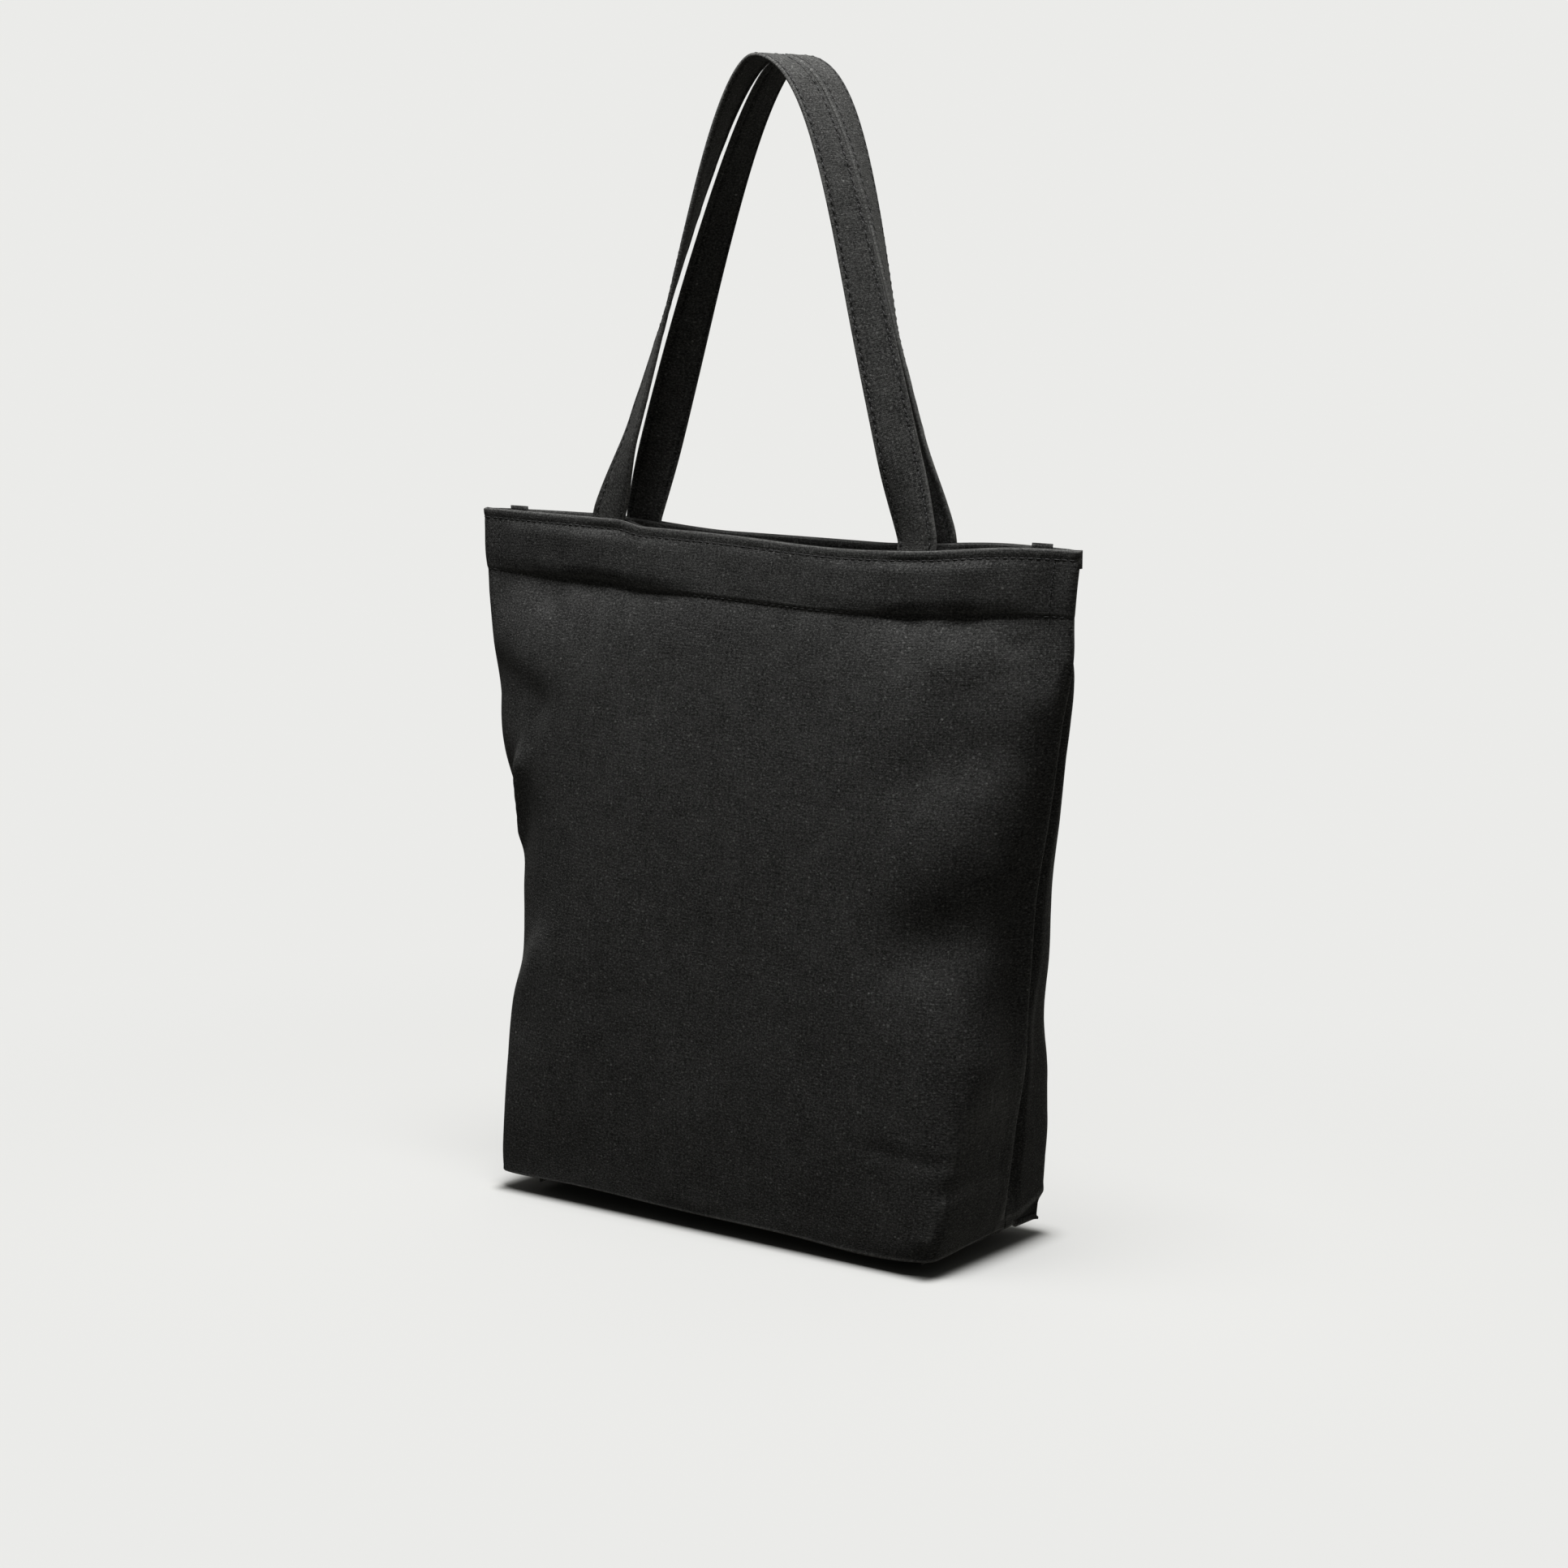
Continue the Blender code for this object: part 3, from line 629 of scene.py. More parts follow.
def lint(tree, cloth, scale, size, rarity, strength):
    """Pale specks of lint, at some of the points of a random pattern."""
    pattern = node(tree, "ShaderNodeTexVoronoi", feature="F1")
    pattern.inputs["Scale"].default_value = scale
    tree.links.new(stretched(tree, cloth, (1, 1.3, 1)), pattern.inputs["Vector"])
    speck = node(tree, "ShaderNodeMapRange", interpolation_type="SMOOTHSTEP")
    speck.inputs["From Min"].default_value = size * 1.5
    speck.inputs["From Max"].default_value = size * 0.5
    tree.links.new(pattern.outputs["Distance"], speck.inputs["Value"])
    chosen = node(tree, "ShaderNodeSeparateXYZ")
    tree.links.new(pattern.outputs["Color"], chosen.inputs[0])
    present = math_node(tree, "GREATER_THAN", chosen.outputs[0], rarity)
    amount = math_node(tree, "MULTIPLY", speck.outputs["Result"], present)
    amount = math_node(tree, "MULTIPLY", amount, chosen.outputs[1])
    return math_node(tree, "MULTIPLY", amount, strength)


def thread_material():
    """Matt black sewing thread with a fine twist; the needle-hole lenses are turned near-black as painted
    shade.
    """
    material = bpy.data.materials.new("sewing_thread")
    material.use_nodes = True
    tree = material.node_tree
    shader = tree.nodes["Principled BSDF"]
    place = node(tree, "ShaderNodeTexCoord").outputs["Object"]
    twist = noise_node(tree, place, 2200, 1.0)
    tone = math_node(tree, "ADD", math_node(tree, "MULTIPLY", twist, 0.9), 0.5)
    paint = node(tree, "ShaderNodeVectorMath", operation="SCALE")
    paint.inputs[0].default_value = (0.012, 0.012, 0.0118)
    hole = node(tree, "ShaderNodeAttribute", attribute_name="hole").outputs["Fac"]
    lit = math_node(tree, "SUBTRACT", 1.0, math_node(tree, "MULTIPLY", hole, 0.95))
    tree.links.new(math_node(tree, "MULTIPLY", tone, lit), paint.inputs["Scale"])
    tree.links.new(paint.outputs[0], shader.inputs["Base Color"])
    rough = math_node(tree, "ADD", math_node(tree, "MULTIPLY", twist, 0.2), 0.6)
    tree.links.new(rough, shader.inputs["Roughness"])
    bump = node(tree, "ShaderNodeBump")
    bump.inputs["Strength"].default_value = 0.4
    bump.inputs["Distance"].default_value = 0.0001
    tree.links.new(twist, bump.inputs["Height"])
    tree.links.new(bump.outputs[0], shader.inputs["Normal"])
    return material


# ---------------------------------------------------------------- body pieces


def rim_turn(panel):
    """Rows that turn the panel's top edge inward, from the turned-in edge up to the rim."""
    top, inward = panel.grid[0], -panel.normals[0].copy()
    inward[:, 2] = 0
    inward /= np.linalg.norm(inward, axis=1)[:, None]
    up = np.array([0, 0, 1.0])
    room = np.clip((panel.side * top[:, 1] - 0.0003) / (2 * ROLL), 0.15, 1)[:, None]
    rows = []
    for drop in (TURN_IN, TURN_IN * 0.6, TURN_IN * 0.3, 0.0012):
        rows.append(top + inward * 2 * ROLL * room - up * drop)
    for angle in np.linspace(pi, 0, 9)[:-1]:
        rows.append(top + inward * ROLL * room * (1 - cos(angle)) + up * ROLL * sin(angle))
    return np.array(rows)


def add_panel(name, panel, material):
    """The whole panel: turned edge at the rim, wall, lower edge and half of the base."""
    turn = rim_turn(panel)
    grid = np.concatenate((turn, panel.grid))
    rows, columns = grid.shape[:2]
    points = grid.reshape(-1, 3)
    turn_downs = np.concatenate((-np.array([TURN_IN, TURN_IN * 0.6, TURN_IN * 0.3, 0.0012]) - pi * ROLL,
                                 -np.linspace(pi, 0, 9)[:-1] * ROLL))
    downs = np.concatenate((turn_downs, panel.down))
    uvs = np.stack(np.broadcast_arrays(panel.places[None, :] * HALF_RIM, downs[:, None]), -1).reshape(-1, 2)
    faces = grid_faces(rows, columns)

    lowest = (rows - 1) * columns
    front = np.arange(GUSSET_COLUMNS, GUSSET_COLUMNS + FACE_COLUMNS + 1) + lowest
    left = np.arange(GUSSET_COLUMNS, -1, -1) + lowest
    right = np.arange(columns - GUSSET_COLUMNS - 1, columns) + lowest
    share = np.linspace(0, 1, FACE_COLUMNS + 1)[:, None]
    base_points, base_uvs = [], []
    index_rows = [front]
    count = len(points)
    start_line = points[left[0]] * (1 - share) + points[right[0]] * share
    edge_down = downs[-1]
    for k in range(1, GUSSET_COLUMNS + 1):
        inward = 1 - (1 - abs(panel.places[GUSSET_COLUMNS - k])) * HALF_RIM / HALF_BASE_DEPTH
        line = points[left[k]] * (1 - share) + points[right[k]] * share
        row = line + (points[front] - start_line) * (1 - inward)
        row[:, 2] = settle(row[:, 0], row[:, 1], row[:, 2])
        base_points.append(row[1:-1])
        row_uv = np.stack((np.linspace(-1, 1, FACE_COLUMNS + 1) * HALF_BASE_WIDTH,
                           np.full(FACE_COLUMNS + 1, edge_down + inward * HALF_BASE_DEPTH)), 1)
        base_uvs.append(row_uv[1:-1])
        new = np.arange(FACE_COLUMNS - 1) + count
        count += FACE_COLUMNS - 1
        index_rows.append(np.concatenate(([left[k]], new, [right[k]])))
    points = np.concatenate([points] + base_points)
    uvs = np.concatenate([uvs] + base_uvs)
    index = np.array(index_rows)
    base_faces = np.stack((index[:-1, :-1], index[:-1, 1:], index[1:, 1:], index[1:, :-1]), -1)
    faces = np.concatenate((faces, base_faces.reshape(-1, 4)))
    if panel.side < 0:
        faces = faces[:, ::-1]
    wear = panel_wear(panel, points, uvs, rows * columns)
    points, faces, uvs, wear = close_sheet(points, faces, CLOTH, uvs, wear)
    return add_mesh(name, points, faces, material, uvs, wear=wear)


def settle(x, y, z):
    """Height of the base's underside: lifted at its edges, resting on the floor inside them."""
    edge_x = smooth(HALF_BASE_WIDTH - np.abs(x), 0.012, 0.050)
    edge_y = smooth(HALF_BASE_DEPTH - np.abs(y), 0.010, 0.040)
    return z * (1 - edge_x * edge_y)


def panel_wear(panel, points, uvs, wall_count):
    """Where the cloth is made pale, partly as wear and partly as a painted highlight on folds and edges
    that catch the light: the rim, the side seams, the lower edge and the fold tops.
    """
    down, across = uvs[:, 1], np.abs(uvs[:, 0])
    # each term paints a pale line along a fold or edge, partly wear and partly a painted highlight
    wear = 0.8 * np.exp(-(((down + 0.0006) / 0.0011) ** 2))
    wear += 0.25 * np.exp(-(((down - FACING_DEPTH + 0.0016) / 0.0012) ** 2))
    seam = HALF_RIM - across
    in_wall = (np.arange(len(points)) < wall_count).astype(float)
    if panel.side < 0:
        wear += 0.7 * np.exp(-(((seam - 0.0013) / 0.0006) ** 2)) * in_wall
    else:
        fold = fold_height(points[:, 0], seam)
        lift = edge_lift(points[:, 0], 1) * np.exp(-fold / 0.012)
        over = (points[:, 2] - fold - lift - 0.0010) / 0.0014
        wear += 0.9 * np.exp(-(over**2)) * in_wall * (seam < SIDE_LENGTH)
    wear += 1.0 * np.exp(-(((down - BODY_HEIGHT + 1.0 * EDGE_RADIUS) / 0.0016) ** 2)) * in_wall
    if panel.side < 0:
        for start, end, width, _ in FRONT_RIDGES:
            top = crease(points[:, 0], points[:, 2] - 0.003, start, end, 0.45 * width, 1.0, 0.0)
            wear += 0.36 * top * in_wall
    return np.clip(wear, 0, 1)


def strap_room(x, side):
    """Extra room between the panel and the facing at the sewn-in straps."""
    away = np.maximum(from_strap(x, side) - STRAP_WIDTH / 2 - 0.001, 0)
    return (STRAP_THICKNESS + 0.0003) * (1 - smooth(away, 0, 0.014))


def from_strap(x, side):
    """Distance along x from the middle of the nearer strap end on one side."""
    foot = np.where(x > 0, LEGS[side, 1][0], LEGS[side, -1][0])
    return np.abs(np.abs(x) - foot)


def facing_grid(panel):
    """Rows of the facing's visible face, from the turned top edge down to its stitched edge."""
    limit = 1 - 0.020 / HALF_RIM
    places = np.linspace(-limit, limit, 181)
    drops = np.concatenate(([0.0, 0.0006, 0.0013, 0.002, 0.003], np.arange(0.004, 0.037, 0.0012)))
    x_top = panel.at(places, np.zeros_like(places))[0][:, 0]
    room = 4 * ROLL + 0.0001 + strap_room(x_top, panel.side)
    rows = []
    for drop in drops:
        point, normal = panel.at(places, np.full_like(places, drop))
        inward = -normal.copy()
        inward[:, 2] = 0
        inward /= np.linalg.norm(inward, axis=1)[:, None]
        puff = 0.0004 * np.sin(pi * np.clip((drop - 0.004) / 0.028, 0, 1))
        groove = 0.0004 * np.exp(-(((drop - RIM_STITCH_DROP) / 0.001) ** 2))
        groove += 0.0005 * np.exp(-(((drop - FACING_DEPTH) / 0.001) ** 2))
        rows.append(point + inward * (room + puff - groove)[:, None])
    grid = np.array(rows)
    grid[:, :, 1] = panel.side * np.maximum(panel.side * grid[:, :, 1], 0.0012)
    outward = (grid[0] - panel.at(places, np.zeros_like(places))[0])
    outward[:, 2] = 0
    outward /= -np.linalg.norm(outward, axis=1)[:, None]
    up = np.array([0, 0, 1.0])
    turn = []
    for drop in (TURN_IN, TURN_IN * 0.5, 0.0012):
        turn.append(grid[0] + outward * 2 * ROLL - up * drop)
    for angle in np.linspace(pi, 0, 9)[:-1]:
        turn.append(grid[0] + outward * ROLL * (1 - cos(angle)) + up * ROLL * sin(angle))
    return places, drops, np.concatenate((np.array(turn), grid))


def add_facing(name, panel, material):
    places, drops, grid = facing_grid(panel)
    rows, columns = grid.shape[:2]
    points = grid.reshape(-1, 3)
    downs = np.concatenate((np.linspace(-0.012, -0.0004, rows - len(drops)), drops))
    uvs = np.stack(np.broadcast_arrays(places[None, :] * HALF_RIM, downs[:, None]), -1).reshape(-1, 2)
    # the facing's turned top edge is made paler, as wear and as a painted highlight
    wear = 0.7 * np.exp(-((uvs[:, 1] / 0.0012) ** 2))
    faces = grid_faces(rows, columns)
    if panel.side > 0:
        faces = faces[:, ::-1]
    points, faces, uvs, wear = close_sheet(points, faces, CLOTH, uvs, wear)
    return add_mesh(name, points, faces, material, uvs, wear=wear)


def add_stitches(name, path, normals, material, thickness=THREAD, hole_radius=HOLE_RADIUS, seed=5):
    """Separate stitches along a path of points, each a short thread that dips in at its ends."""
    length = np.concatenate(([0], np.cumsum(np.linalg.norm(np.diff(path, axis=0), axis=1))))
    count = int((length[-1] - 0.001) / STITCH_PITCH)
    rng = np.random.default_rng(seed)
    rings, sides = 7, 6
    share = np.linspace(0, 1, rings)
    starts = 0.0006 + np.arange(count) * STITCH_PITCH + rng.uniform(-0.00012, 0.00012, count)
    spans = STITCH_LENGTH * rng.uniform(0.94, 1.06, count)
    lean = rng.uniform(-0.05, 0.05, count)
    places = starts[:, None] + spans[:, None] * share[None, :]
    centre = np.stack([np.interp(places, length, path[:, i]) for i in range(3)], -1)
    normal = np.stack([np.interp(places, length, normals[:, i]) for i in range(3)], -1)
    normal /= np.linalg.norm(normal, axis=2)[:, :, None]
    along = np.gradient(centre, axis=1)
    along /= np.linalg.norm(along, axis=2)[:, :, None]
    sideways = np.cross(normal, along)
    height = thickness * (0.62 * np.sin(pi * share) ** 0.5 - 0.30)
    centre = centre + normal * height[None, :, None]
    centre = centre + sideways * (lean[:, None] * spans[:, None] * (share - 0.5)[None, :])[:, :, None]
    radius = thickness / 2 * (0.35 + 0.65 * np.sin(pi * share) ** 0.4)
    angles = np.arange(sides) / sides * 2 * pi
    ring = (
        sideways[:, :, None, :] * (np.cos(angles) * 1.15)[None, None, :, None]
        + normal[:, :, None, :] * np.sin(angles)[None, None, :, None]
    )
    points = centre[:, :, None, :] + ring * radius[None, :, None, None]
    points = points.reshape(-1, 3)
    one = []
    for i in range(rings - 1):
        for j in range(sides):
            k = (j + 1) % sides
            one.append((i * sides + j, i * sides + k, (i + 1) * sides + k, (i + 1) * sides + j))
    one = np.array(one)[:, ::-1]
    faces = (one[None] + (np.arange(count) * rings * sides)[:, None, None]).reshape(-1, 4).tolist()
    for k in range(count):
        base = k * rings * sides
        faces.append([base + j for j in range(sides)])
        faces.append([base + (rings - 1) * sides + j for j in reversed(range(sides))])
    between = starts - (STITCH_PITCH - STITCH_LENGTH) / 2
    hole_points, hole_faces = needle_holes(path, normals, length, between, hole_radius)
    faces += (hole_faces + len(points)).tolist()
    # the needle-hole lenses get 1, which turns them near-black: painted shade in the holes
    hole = np.concatenate((np.zeros(len(points)), np.ones(len(hole_points))))
    points = np.concatenate((points, hole_points))
    return add_mesh(name, points, faces, material, hole=hole)


def needle_holes(path, normals, length, places, radius):
    """Small near-black lens shapes, painted shade of the holes where the needle went through, between the
    stitches.
    """
    centre = np.stack([np.interp(places, length, path[:, i]) for i in range(3)], -1)
    normal = np.stack([np.interp(places, length, normals[:, i]) for i in range(3)], -1)
    normal /= np.linalg.norm(normal, axis=1)[:, None]
    ahead = np.stack([np.interp(places + 0.001, length, path[:, i]) for i in range(3)], -1)
    behind = np.stack([np.interp(places - 0.001, length, path[:, i]) for i in range(3)], -1)
    along = ahead - behind
    along /= np.linalg.norm(along, axis=1)[:, None]
    sideways = np.cross(normal, along)
    sides = 8
    angles = np.arange(sides) / sides * 2 * pi
    rim = centre[:, None, :] + radius * (
        along[:, None, :] * np.cos(angles)[None, :, None] * 1.15
        + sideways[:, None, :] * np.sin(angles)[None, :, None] * 0.85
    )
    top = (centre + normal * 0.00010)[:, None, :]
    under = (centre - normal * 0.0003)[:, None, :]
    points = np.concatenate((rim, top, under), axis=1)
    one = []
    for j in range(sides):
        k = (j + 1) % sides
        one.append((j, k, sides))
        one.append((k, j, sides + 1))
    faces = np.array(one)[None] + (np.arange(len(places)) * (sides + 2))[:, None, None]
    return points.reshape(-1, 3), faces.reshape(-1, 3)


def ring_path(front, back, drop):
    """Points and normals round the outside of the bag at a distance below the rim."""
    places = np.linspace(-1, 1, 700)
    front_points, front_normals = front.at(places, np.full_like(places, drop))
    back_points, back_normals = back.at(places[::-1], np.full_like(places, drop))
    points = np.concatenate((front_points, back_points, front_points[:1]))
    normals = np.concatenate((front_normals, back_normals, front_normals[:1]))
    return points, normals


def strip_along(name, centres, across, out, width, thickness, material, seed):
    """A double layer of raw-edged cloth along a line, with softly uneven edges."""
    centres, across, out = (np.asarray(a, float) for a in (centres, across, out))
    length = np.concatenate(([0], np.cumsum(np.linalg.norm(np.diff(centres, axis=0), axis=1))))
    count = max(int(length[-1] / 0.0015), 8)
    places = np.linspace(0, length[-1], count)
    path = np.stack([np.interp(places, length, centres[:, i]) for i in range(3)], 1)
    side_way = np.stack([np.interp(places, length, across[:, i]) for i in range(3)], 1)
    out_way = np.stack([np.interp(places, length, out[:, i]) for i in range(3)], 1)
    steps = 14
    ring = []
    for j in range(steps):
        angle = j / steps * 2 * pi
        wide = np.sign(cos(angle)) * abs(cos(angle)) ** 0.35
        thick = np.sign(sin(angle)) * abs(sin(angle)) ** 0.6
        ring.append((wide, thick))
    edge = 1 + 0.05 * noise(places, places * 0, 0.004, seed)
    edge += 0.04 * noise(places, places * 0, 0.013, seed + 1)
    points, uvs = [], []
    for wide, thick in ring:
        offset = side_way * (wide * width / 2 * np.where(wide > 0, edge, 1))[:, None]
        lift = out_way * (thick * thickness / 2)
        points.append(path + offset + lift)
        uvs.append(np.stack((np.full(count, wide * width / 2), places), 1))
    points = np.stack(points, 1).reshape(-1, 3)
    uvs = np.stack(uvs, 1).reshape(-1, 2)
    index = np.arange(count * steps).reshape(count, steps)
    following = np.roll(index, -1, axis=1)
    faces = np.stack((index[:-1], following[:-1], following[1:], index[1:]), -1).reshape(-1, 4).tolist()
    faces.append(index[0].tolist()[::-1])
    faces.append(index[-1].tolist())
    wear = np.clip(np.abs(uvs[:, 0]) / (width / 2) - 0.6, 0, 1)
    piece = add_mesh(name, points, faces, material, uvs, wear=wear)
    recalculate(piece.data)
    return piece


def recalculate(mesh):
    """Turns a closed mesh's faces outward."""
    work = bmesh.new()
    work.from_mesh(mesh)
    bmesh.ops.recalc_face_normals(work, faces=work.faces)
    work.to_mesh(mesh)
    work.free()


def add_side_allowance(name, hand, material):
    low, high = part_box(f"{'left' if hand < 0 else 'right'}_side_seam_allowance")
    centres = []
    for z in np.linspace(low.z, high.z, 60):
        near_rim = np.clip((z - BODY_HEIGHT + 0.09) / 0.06, 0, 1)
        x = half_width(z) - 0.004 - 0.014 * near_rim - ALLOWANCE_WIDTH / 2
        centres.append((hand * x, 0, z))
    across = np.tile((-hand, 0, 0), (60, 1))
    out = np.tile((0, 1, 0), (60, 1))
    return strip_along(name, centres, across, out, ALLOWANCE_WIDTH, 0.0016, material, 40 + hand)


def add_flat_allowance(name, cad_node, long_axis, width_way, material, seed):
    low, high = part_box(cad_node)
    middle = (low + high) / 2
    start, end = middle.copy(), middle.copy()
    start[long_axis], end[long_axis] = low[long_axis], high[long_axis]
    centres = [start.lerp(end, share) for share in np.linspace(0, 1, 20)]
    across = np.tile(width_way, (20, 1))
    out = np.tile((0, 0, 1) if width_way[2] == 0 else (1, 0, 0), (20, 1))
    return strip_along(name, centres, across, out, 0.0116, 0.0014, material, seed)


# ---------------------------------------------------------------- handles


def lie_angle(x, z):
    step = 0.001
    return atan((outer_depth(x - step, z) - outer_depth(x + step, z)) / (2 * step))


def leg_depth(x, z):
    return outer_depth(x, z) - 2 * ROLL - 0.0001 - STRAP_THICKNESS / 2


class Strap:
    """Middle line, width directions and outward normals of a whole strap, with its sewn-in ends."""

    def __init__(self, side):
        legs = [self.leg(side, hand) for hand in (1, -1)]
        rows = [np.concatenate((legs[0][i], legs[1][i][::-1][1:])) for i in range(5)]
        x, depth, z, turn, hand = rows
        rough = np.stack((x, side * depth, z), 1)
        length = np.concatenate(([0], np.cumsum(np.linalg.norm(np.diff(rough, axis=0), axis=1))))
        step = STITCH_PITCH / 4
        self.places = np.arange(0, length[-1], step)
        self.centres = np.stack([np.interp(self.places, length, rough[:, i]) for i in range(3)], 1)
        turn, hand = np.interp(self.places, length, turn), np.interp(self.places, length, hand)
        kernel = np.hanning(11)
        kernel /= kernel.sum()
        padded = np.pad(self.centres, ((5, 5), (0, 0)), "reflect", reflect_type="odd")
        self.centres = np.stack([np.convolve(padded[:, i], kernel, "valid") for i in range(3)], 1)
        along = np.gradient(self.centres, axis=0)
        along /= np.linalg.norm(along, axis=1)[:, None]
        angle = -side * turn
        inward = np.stack((-np.cos(angle) * np.sign(hand), -np.sin(angle), 0 * angle), 1)
        inward -= along * np.sum(along * inward, 1)[:, None]
        inward /= np.linalg.norm(inward, axis=1)[:, None]
        self.across = inward
        self.out = np.cross(along, inward) * -side
        bend = 0.00025 * noise(self.places, self.places * 0, 0.05, 9 + side)
        self.centres = self.centres + self.out * bend[:, None]
        self.side = side

    def leg(self, side, hand):
        """One leg from its sewn-in end up to the top of the loop."""
        foot_x, power, twist_power, first_turn, bow = LEGS[side, hand]
        foot = BODY_HEIGHT + 0.0009
        rise = LOOP_TOP - foot
        share = np.linspace(0, 1, 240)
        height = 1 - (1 - share) ** 2
        x = hand * foot_x * (1 - height) ** (1 / power) + LOOP_SHIFT * height
        x += hand * bow * np.sin(pi * height)
        foot_angle = lie_angle(foot_x, BODY_HEIGHT)
        turn = first_turn + (pi / 2 - first_turn) * (1 - (1 - height) ** twist_power)
        turn += (foot_angle - first_turn) * (1 - smooth(height, 0.0, 0.20))
        foot_depth = leg_depth(foot_x, BODY_HEIGHT)
        depth = foot_depth + (STRAP_WIDTH / 2 + APEX_GAP - foot_depth) * np.sin(turn) ** 2
        end_z = np.linspace(BODY_HEIGHT - END_DEPTH + 0.002, foot - 0.001, 40)
        end_turn = np.array([lie_angle(foot_x, value) for value in end_z])
        x = np.concatenate((np.full(40, hand * foot_x), x))
        depth = np.concatenate((leg_depth(foot_x, end_z), depth))
        z = np.concatenate((end_z, foot + rise * height))
        return x, depth, z, np.concatenate((end_turn, turn)), np.full(len(x), float(hand))

    def line(self, offset, face):
        """Points and normals along a face of the strap, at an offset towards its inner edge."""
        lift = strap_half_thickness(offset, self.places)
        points = self.centres + self.across * offset + self.out * (face * lift)[:, None]
        return points, self.out * face


STRAP_ROWS = (-(STRAP_WIDTH / 2 - 0.0036), STRAP_WIDTH / 2 - 0.0022)


def strap_half_thickness(offset, places):
    """Half the strap's thickness: rounded edges, grooves and dimples along the stitch rows."""
    edge = np.clip((STRAP_WIDTH / 2 - np.abs(offset)) / 0.0012, 0, 1)
    rounded = np.sqrt(np.clip(1 - (1 - edge) ** 2, 0, 1))
    half = STRAP_THICKNESS / 2 * rounded
    puff = 0.00012 * np.cos(offset / (STRAP_WIDTH / 2) * pi / 2)
    dimple = 0.5 + 0.5 * np.cos(2 * pi * (places - 0.0004) / STITCH_PITCH)
    groove = 0
    for row in STRAP_ROWS:
        near = np.exp(-(((offset - row) / 0.0009) ** 2))
        groove = groove + near * (0.00022 + 0.00026 * dimple)
    return half + puff * rounded - groove * rounded


def add_strap(name, strap, material):
    """A folded canvas strap, one closed tube of flat section."""
    offsets = np.concatenate((
        -STRAP_WIDTH / 2 + 0.0012 * (1 - np.cos(np.linspace(0, pi / 2, 5))),
        np.arange(-STRAP_WIDTH / 2 + 0.0018, STRAP_WIDTH / 2 - 0.0015, 0.00075),
        STRAP_WIDTH / 2 - 0.0012 * (1 - np.cos(np.linspace(pi / 2, 0, 5))),
    ))
    ring_offsets = np.concatenate((offsets, offsets[::-1][1:-1]))
    faces_up = np.concatenate((np.ones(len(offsets)), -np.ones(len(offsets) - 2)))
    count, steps = len(strap.centres), len(ring_offsets)
    points = np.zeros((count, steps, 3))
    for j, (offset, up) in enumerate(zip(ring_offsets, faces_up)):
        half = strap_half_thickness(offset, strap.places)
        waver = 0.0002 * noise(strap.places, strap.places * 0 + offset, 0.006, 51 + strap.side)
        level = up * half + waver * (np.abs(offset) < STRAP_WIDTH / 2 - 0.001)
        points[:, j] = strap.centres + strap.across * offset + strap.out * level[:, None]
    around = np.where(faces_up > 0, ring_offsets, STRAP_WIDTH - ring_offsets)
    uvs = np.stack(np.broadcast_arrays(around[None, :], strap.places[:, None]), -1).reshape(-1, 2)
    # the strap's edges are made paler, as wear and as a painted highlight; along the stitch rows a painted
    # shade darkens the cloth, most at each stitch's dimple
    wear = 0.5 * np.exp(-(((STRAP_WIDTH / 2 - np.abs(ring_offsets)) / 0.0008) ** 2))
    dimple = 0.5 + 0.5 * np.cos(2 * pi * (strap.places - 0.0004) / STITCH_PITCH)
    shade = sum(np.exp(-(((ring_offsets - row) / 0.0007) ** 2)) for row in STRAP_ROWS)
    wear = wear[None, :] - (0.10 + 0.22 * dimple)[:, None] * shade[None, :]
    wear = wear.reshape(-1)
    index = np.arange(count * steps).reshape(count, steps)
    following = np.roll(index, -1, axis=1)
    faces = np.stack((index[:-1], following[:-1], following[1:], index[1:]), -1).reshape(-1, 4).tolist()
    faces.append(index[0].tolist()[::-1])
    faces.append(index[-1].tolist())
    piece = add_mesh(name, points.reshape(-1, 3), faces, material, uvs, wear=wear)
    recalculate(piece.data)
    return piece


# ---------------------------------------------------------------- studio


def add_camera():
    """A long lens a little above the rim, towards the bag's front and its right side."""
    azimuth, elevation, distance = radians(36.48), radians(9.44), 1.8645
    target = Vector((0.0115, 0, 0.2316))
    back = Vector((sin(azimuth) * cos(elevation), -cos(azimuth) * cos(elevation), sin(elevation)))
    data = bpy.data.cameras.new("camera")
    data.lens, data.sensor_width = 82.08, 36.0
    camera = bpy.data.objects.new("camera", data)
    bpy.context.scene.collection.objects.link(camera)
    turn = back.to_track_quat("Z", "Y").to_matrix().to_4x4()
    roll = Matrix.Rotation(radians(0.2), 4, "Z")
    camera.matrix_world = Matrix.Translation(target + back * distance) @ turn @ roll
    bpy.context.scene.camera = camera


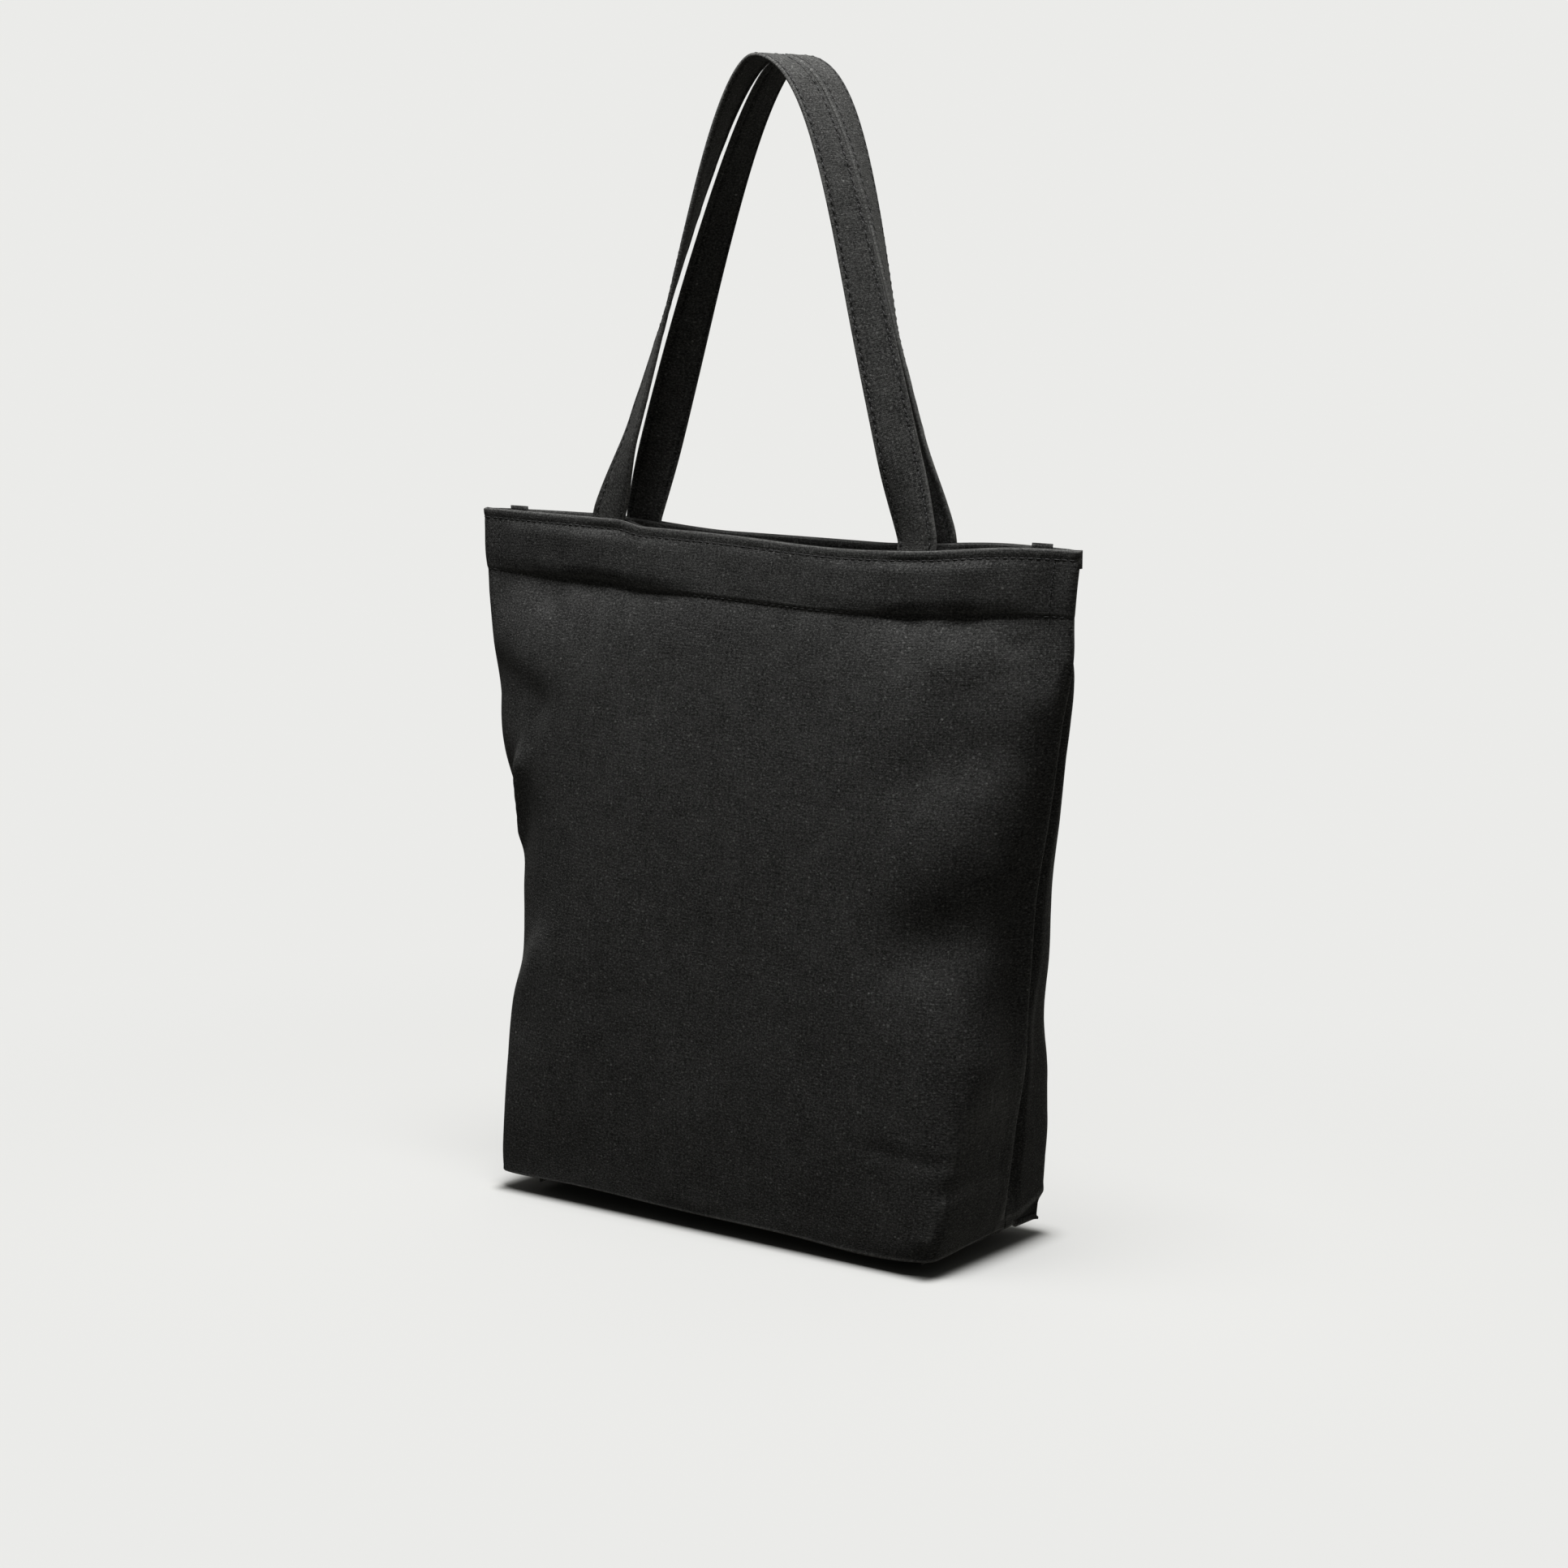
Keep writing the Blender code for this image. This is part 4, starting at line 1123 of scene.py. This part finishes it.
def add_floor():
    """A pale round bowl, evenly bright except close round the bag's footprint, where it takes shadow and
    its colour is darkened as a painted contact shadow.
    """
    material = bpy.data.materials.new("pale_sweep")
    material.use_nodes = True
    tree = material.node_tree
    shader = tree.nodes["Principled BSDF"]
    shader.inputs["Roughness"].default_value = 0.9
    shader.inputs["Specular IOR Level"].default_value = 0.05
    glow = node(tree, "ShaderNodeEmission")
    glow.inputs["Color"].default_value = (0.832, 0.832, 0.816, 1)
    place = node(tree, "ShaderNodeTexCoord").outputs["Object"]
    folded = node(tree, "ShaderNodeVectorMath", operation="ABSOLUTE")
    tree.links.new(place, folded.inputs[0])
    outside = node(tree, "ShaderNodeVectorMath", operation="SUBTRACT")
    outside.inputs[1].default_value = (HALF_BASE_WIDTH - 0.003, HALF_BASE_DEPTH - 0.003, 0)
    tree.links.new(folded.outputs[0], outside.inputs[0])
    clipped = node(tree, "ShaderNodeVectorMath", operation="MAXIMUM")
    tree.links.new(outside.outputs[0], clipped.inputs[0])
    reach = node(tree, "ShaderNodeVectorMath", operation="LENGTH")
    tree.links.new(clipped.outputs[0], reach.inputs[0])
    # painted contact shadow: the floor's colour falls from 0.52 to 0.10 within 12 mm of the bag's footprint
    painted_contact_shadow = node(tree, "ShaderNodeMix", data_type="RGBA")
    painted_contact_shadow.inputs["A"].default_value = (0.10, 0.10, 0.096, 1)
    painted_contact_shadow.inputs["B"].default_value = (0.52, 0.52, 0.51, 1)
    tree.links.new(ramp(tree, reach.outputs["Value"], 0.0, 0.012), painted_contact_shadow.inputs["Factor"])
    tree.links.new(painted_contact_shadow.outputs["Result"], shader.inputs["Base Color"])
    near = math_node(tree, "MULTIPLY", ramp(tree, reach.outputs["Value"], 0.001, 0.022), 0.76)
    far = math_node(tree, "MULTIPLY", ramp(tree, reach.outputs["Value"], 0.08, 0.55), 0.24)
    share = math_node(tree, "ADD", near, far)
    mix = node(tree, "ShaderNodeMixShader")
    tree.links.new(share, mix.inputs[0])
    tree.links.new(shader.outputs[0], mix.inputs[1])
    tree.links.new(glow.outputs[0], mix.inputs[2])
    tree.links.new(mix.outputs[0], tree.nodes["Material Output"].inputs["Surface"])
    reach, turn, height, steps = 4.0, 2.0, 7.0, 96  # flat radius, bend, wall top, points round
    profile = [(1.0, 0.0), (reach, 0.0)]
    bend = np.linspace(0, pi / 2, 17)[1:]
    profile += [(reach + turn * sin(angle), turn * (1 - cos(angle))) for angle in bend]
    profile.append((reach + turn, height))
    rounds = np.linspace(0, 2 * pi, steps, endpoint=False)
    points = [(radius * cos(angle), radius * sin(angle), z) for radius, z in profile for angle in rounds]
    faces = [list(range(steps))]
    for ring in range(len(profile) - 1):
        low, high = ring * steps, (ring + 1) * steps
        faces += [(low + i, high + i, high + (i + 1) % steps, low + (i + 1) % steps) for i in range(steps)]
    sweep = add_mesh("floor_sweep", points, faces, material)
    sweep.visible_diffuse = False  # the cloth's light comes from the lamp and the sky alone
    sweep.visible_glossy = False
    sweep.visible_shadow = False


def add_area_light(name, place, target, size, power):
    data = bpy.data.lights.new(name, "AREA")
    data.shape, data.size, data.energy = "DISK", size, power
    lamp = bpy.data.objects.new(name, data)
    lamp.location = place
    lamp.rotation_euler = (Vector(place) - Vector(target)).to_track_quat("Z", "Y").to_euler()
    bpy.context.scene.collection.objects.link(lamp)


def add_light():
    """A softbox overhead, a sky that is dimmer below, and a soft patch of light behind the bag."""
    world = bpy.data.worlds.new("studio")
    world.use_nodes = True
    tree = world.node_tree
    sky = tree.nodes["Background"]
    way = node(tree, "ShaderNodeTexCoord").outputs["Generated"]
    parts = node(tree, "ShaderNodeSeparateXYZ")
    tree.links.new(way, parts.inputs[0])
    height = ramp(tree, parts.outputs["Z"], -0.6, 0.6)
    blend = node(tree, "ShaderNodeMix", data_type="RGBA")
    blend.inputs["A"].default_value = (0.150, 0.147, 0.132, 1)
    blend.inputs["B"].default_value = (0.175, 0.175, 0.166, 1)
    tree.links.new(height, blend.inputs["Factor"])
    tree.links.new(blend.outputs["Result"], sky.inputs["Color"])
    behind = node(tree, "ShaderNodeVectorMath", operation="DOT_PRODUCT")
    tree.links.new(way, behind.inputs[0])
    behind.inputs[1].default_value = (-0.35, 0.90, 0.25)
    lobe = math_node(tree, "MULTIPLY", ramp(tree, behind.outputs["Value"], 0.48, 0.98), 9.0)
    tree.links.new(math_node(tree, "ADD", lobe, 1.0), sky.inputs["Strength"])
    bpy.context.scene.world = world
    add_area_light("top_softbox", (0.08, -0.19, 1.42), (0, 0, 0.1), 0.6, 29)
    bpy.context.scene.view_settings.view_transform = "Standard"


# ---------------------------------------------------------------- assembly


def build():
    cloth = canvas_material("washed_canvas", (0.030, 0.030, 0.0292))
    inner_cloth = canvas_material("facing_canvas", (0.028, 0.028, 0.0272))
    strap_cloth = canvas_material("strap_canvas", (0.0365, 0.0365, 0.0352), 0.0006, 0.0007)
    stitching = thread_material()
    front, back = Panel(-1), Panel(1)
    panels = {"front": front, "back": back}

    for name, panel in panels.items():
        sheet = add_panel(f"{name}_panel_cloth", panel, cloth)
        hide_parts(f"{name}_panel")
        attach(sheet, "bag")
        facing = add_facing(f"{name}_facing_cloth", panel, inner_cloth)
        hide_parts(f"{name}_facing")
        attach(facing, "bag")

    for hand_name, hand in (("left", -1), ("right", 1)):
        side_strip = add_side_allowance(f"{hand_name}_side_allowance_cloth", hand, inner_cloth)
        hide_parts(f"{hand_name}_side_seam_allowance")
        cad_node = f"{hand_name}_corner_seam_allowance"
        corner_name = f"{hand_name}_corner_allowance_cloth"
        corner = add_flat_allowance(corner_name, cad_node, 1, (0, 0, 1), inner_cloth, 60 + hand)
        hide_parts(cad_node)
        for piece in (side_strip, corner):
            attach(piece, "bag")
    base = add_flat_allowance("base_allowance_cloth", "base_seam_allowance", 0, (0, 1, 0), inner_cloth, 70)
    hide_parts("base_seam_allowance")
    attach(base, "bag")

    for name, drop, cad_node in (("rim_topstitch_thread", RIM_STITCH_DROP, "rim_topstitch"),
                                 ("facing_stitch_thread", FACING_DEPTH, "facing_stitch")):
        path, normals = ring_path(front, back, drop)
        row = add_stitches(name, path, normals, stitching)
        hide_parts(cad_node)
        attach(row, "bag")

    for hand_name, hand in (("left", -1), ("right", 1)):
        place = hand * (1 - 0.014 / HALF_RIM)
        downs = np.linspace(RIM_STITCH_DROP + 0.001, FACING_DEPTH + 0.009, 60)
        path, normals = front.at(np.full(60, place), downs)
        tack = add_stitches(f"{hand_name}_tack_thread", path, normals, stitching, seed=80 + hand)
        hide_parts(f"{hand_name}_tack_stitch")
        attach(tack, "bag")

    for name, side, joint in (("front", -1, FRONT_JOINT), ("back", 1, BACK_JOINT)):
        strap = Strap(side)
        piece = add_strap(f"{name}_handle_strap", strap, strap_cloth)
        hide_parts(f"{name}_handle", f"{name}_left_handle_end", f"{name}_right_handle_end")
        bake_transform(piece)
        for row_name, offset, seed in (("outer", STRAP_ROWS[0], 90), ("inner", STRAP_ROWS[1], 91)):
            points, normals = strap.line(offset, 1)
            row = add_stitches(f"{name}_handle_{row_name}_thread", points, normals, stitching,
                               STRAP_THREAD, STRAP_HOLE_RADIUS, seed + side)
            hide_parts(f"{name}_handle_{row_name}_stitch")
            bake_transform(row)


add_camera()
add_floor()
add_light()
build()
